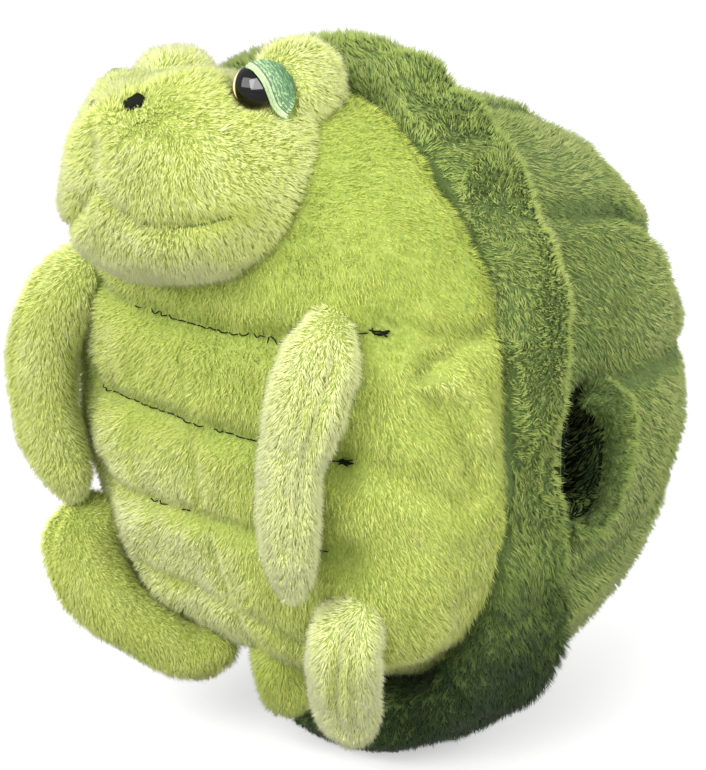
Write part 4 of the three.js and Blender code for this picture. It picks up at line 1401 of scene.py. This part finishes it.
label = {"length": 15, "width": 13, "turn": 35, "aside": (-10, -5, 0), "curl": 0.96, "fit": 0.97}
tape = Finish("woven white label tape")
spot = tape.spot()
warp, weft = (
    tape.add("ShaderNodeTexWave", {"bands_direction": way}, {"Vector": spot, "Scale": 900.0}, "Fac")
    for way in ("Z", "X"))
weave = warp * 0.5 + weft * 0.5
tape.set(Base_Color=tape.mix(weave, rgb(236, 237, 234), rgb(252, 252, 250)), Roughness=0.5, Sheen_Weight=0.2)
tape.bump(weave, 0.3, 0.0003)
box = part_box("care_label")
deselectAll()
bpy.ops.mesh.primitive_cube_add(size=1)
tag = named("care_label_tape")
subdivide(tag, 10)
spots = places(tag) * np.array([1, label["length"], label["width"]])
spots[:, 0] += label["curl"] * np.sin(spots[:, 1] / label["length"] * 3)
middle = (np.array(box[0]) + np.array(box[1])) / 2 / metres + np.array(label["aside"])
setPlaces(tag, spots @ turned(-label["turn"], "Z").T * label["fit"] + middle)
finishWith(tag, "BEVEL", width=0.0002, segments=2, limit_method="ANGLE")
dress(tag, "torso", "label_tape", tape.material, ["care_label"])

washerFinish = Finish("washer plastic")
washerTone = washerFinish.mix(washerFinish.noise(300), rgb(200, 200, 192), rgb(222, 222, 214))
washerFinish.set(Base_Color=washerTone, Roughness=0.5)
for name in ("left", "right"):
    node = bpy.data.objects[f"eye_washer_{name}"]
    for place in node.material_slots:
        place.material = washerFinish.material
print("stitches and label done")


# Studio

studio = {  # focal and middle are in the photo's pixels
    "azimuth": 48.09, "elevation": 16.05, "roll": -1.263, "away": 1.1, "target": (0, 0, 0.170),
    "focal": 2283.6, "middle": (390.0, 392.9), "size": (706, 770),
    "world": 0.95, "floor": 0.42, "floorSeen": 0.62, "floorGlow": 0.42,
}


def setCamera():
    a, e = math.radians(studio["azimuth"]), math.radians(studio["elevation"])
    back = Vector((math.sin(a) * math.cos(e), -math.cos(a) * math.cos(e), math.sin(e)))
    right = Vector((math.cos(a), math.sin(a), 0))
    up = back.cross(right)
    r = math.radians(studio["roll"])
    right, up = right * math.cos(r) + up * math.sin(r), up * math.cos(r) - right * math.sin(r)
    data = bpy.data.cameras.new("camera")
    camera = bpy.data.objects.new("camera", data)
    scene.collection.objects.link(camera)
    stand = Matrix((right, up, back)).transposed().to_4x4()
    stand.translation = Vector(studio["target"]) + back * studio["away"]
    camera.matrix_world = stand
    wide, high = studio["size"]
    data.sensor_width = 36
    data.lens = 36 * studio["focal"] / high
    data.shift_x = (wide / 2 - studio["middle"][0]) / high
    data.shift_y = (studio["middle"][1] - high / 2) / high
    data.clip_start, data.clip_end = 0.01, 50
    scene.camera = camera


def softbox(name, place, target, size, power):
    data = bpy.data.lights.new(name, "AREA")
    data.shape, data.size, data.size_y, data.energy = "RECTANGLE", size[0], size[1], power
    lamp = bpy.data.objects.new(name, data)
    scene.collection.objects.link(lamp)
    lamp.location = place
    lamp.rotation_mode = "QUATERNION"
    lamp.rotation_quaternion = (Vector(place) - Vector(target)).to_track_quat("Z", "Y")
    return lamp


def paleWorld():
    world = bpy.data.worlds.new("studio")
    scene.world = world
    world.use_nodes = True
    nodes, links = world.node_tree.nodes, world.node_tree.links
    back = nodes["Background"]
    back.inputs["Color"].default_value = (1, 1, 1, 1)
    path = nodes.new("ShaderNodeLightPath")
    seen = nodes.new("ShaderNodeMath")
    seen.operation = "MAXIMUM"
    links.new(path.outputs["Is Camera Ray"], seen.inputs[0])
    links.new(path.outputs["Is Glossy Ray"], seen.inputs[1])
    strength = nodes.new("ShaderNodeMix")
    strength.inputs[2].default_value = studio["world"]
    strength.inputs[3].default_value = 1.0
    links.new(seen.outputs[0], strength.inputs[0])
    links.new(strength.outputs[0], back.inputs["Strength"])


def paleFloor():
    deselectAll()
    bpy.ops.mesh.primitive_plane_add(size=6)
    floor = named("floor")
    finish = Finish("pale floor")
    path = finish.add("ShaderNodeLightPath", output="Is Camera Ray")
    lit, seen = ((grey, grey, grey, 1) for grey in (studio["floor"], studio["floorSeen"]))
    finish.set(Base_Color=finish.mix(path, lit, seen))
    finish.set(Roughness=0.9, Specular_IOR_Level=0.1)
    finish.set(Emission_Color=finish.mix(path, (0, 0, 0, 1), (1, 1, 1, 1)))
    finish.set(Emission_Strength=studio["floorGlow"])
    floor.data.materials.append(finish.material)


setCamera()
paleWorld()
paleFloor()
softbox("key", (0.5, -2.1, 1.45), studio["target"], (2.2, 1.5), 72)
softbox("fill", (2.4, 0.3, 1.2), studio["target"], (1.2, 1.6), 40)
window = softbox("window", (1.16, -0.68, 0.96), (0.05, -0.11, 0.33), (1.9, 1.1), 90)
window.visible_diffuse = False  # it is only mirrored in the lenses
lenses = bpy.data.collections.new("lenses")
for name in ("left", "right"):
    lenses.objects.link(bpy.data.objects[f"eye_{name}_lens"])
window.light_linking.receiver_collection = lenses
print("studio done")
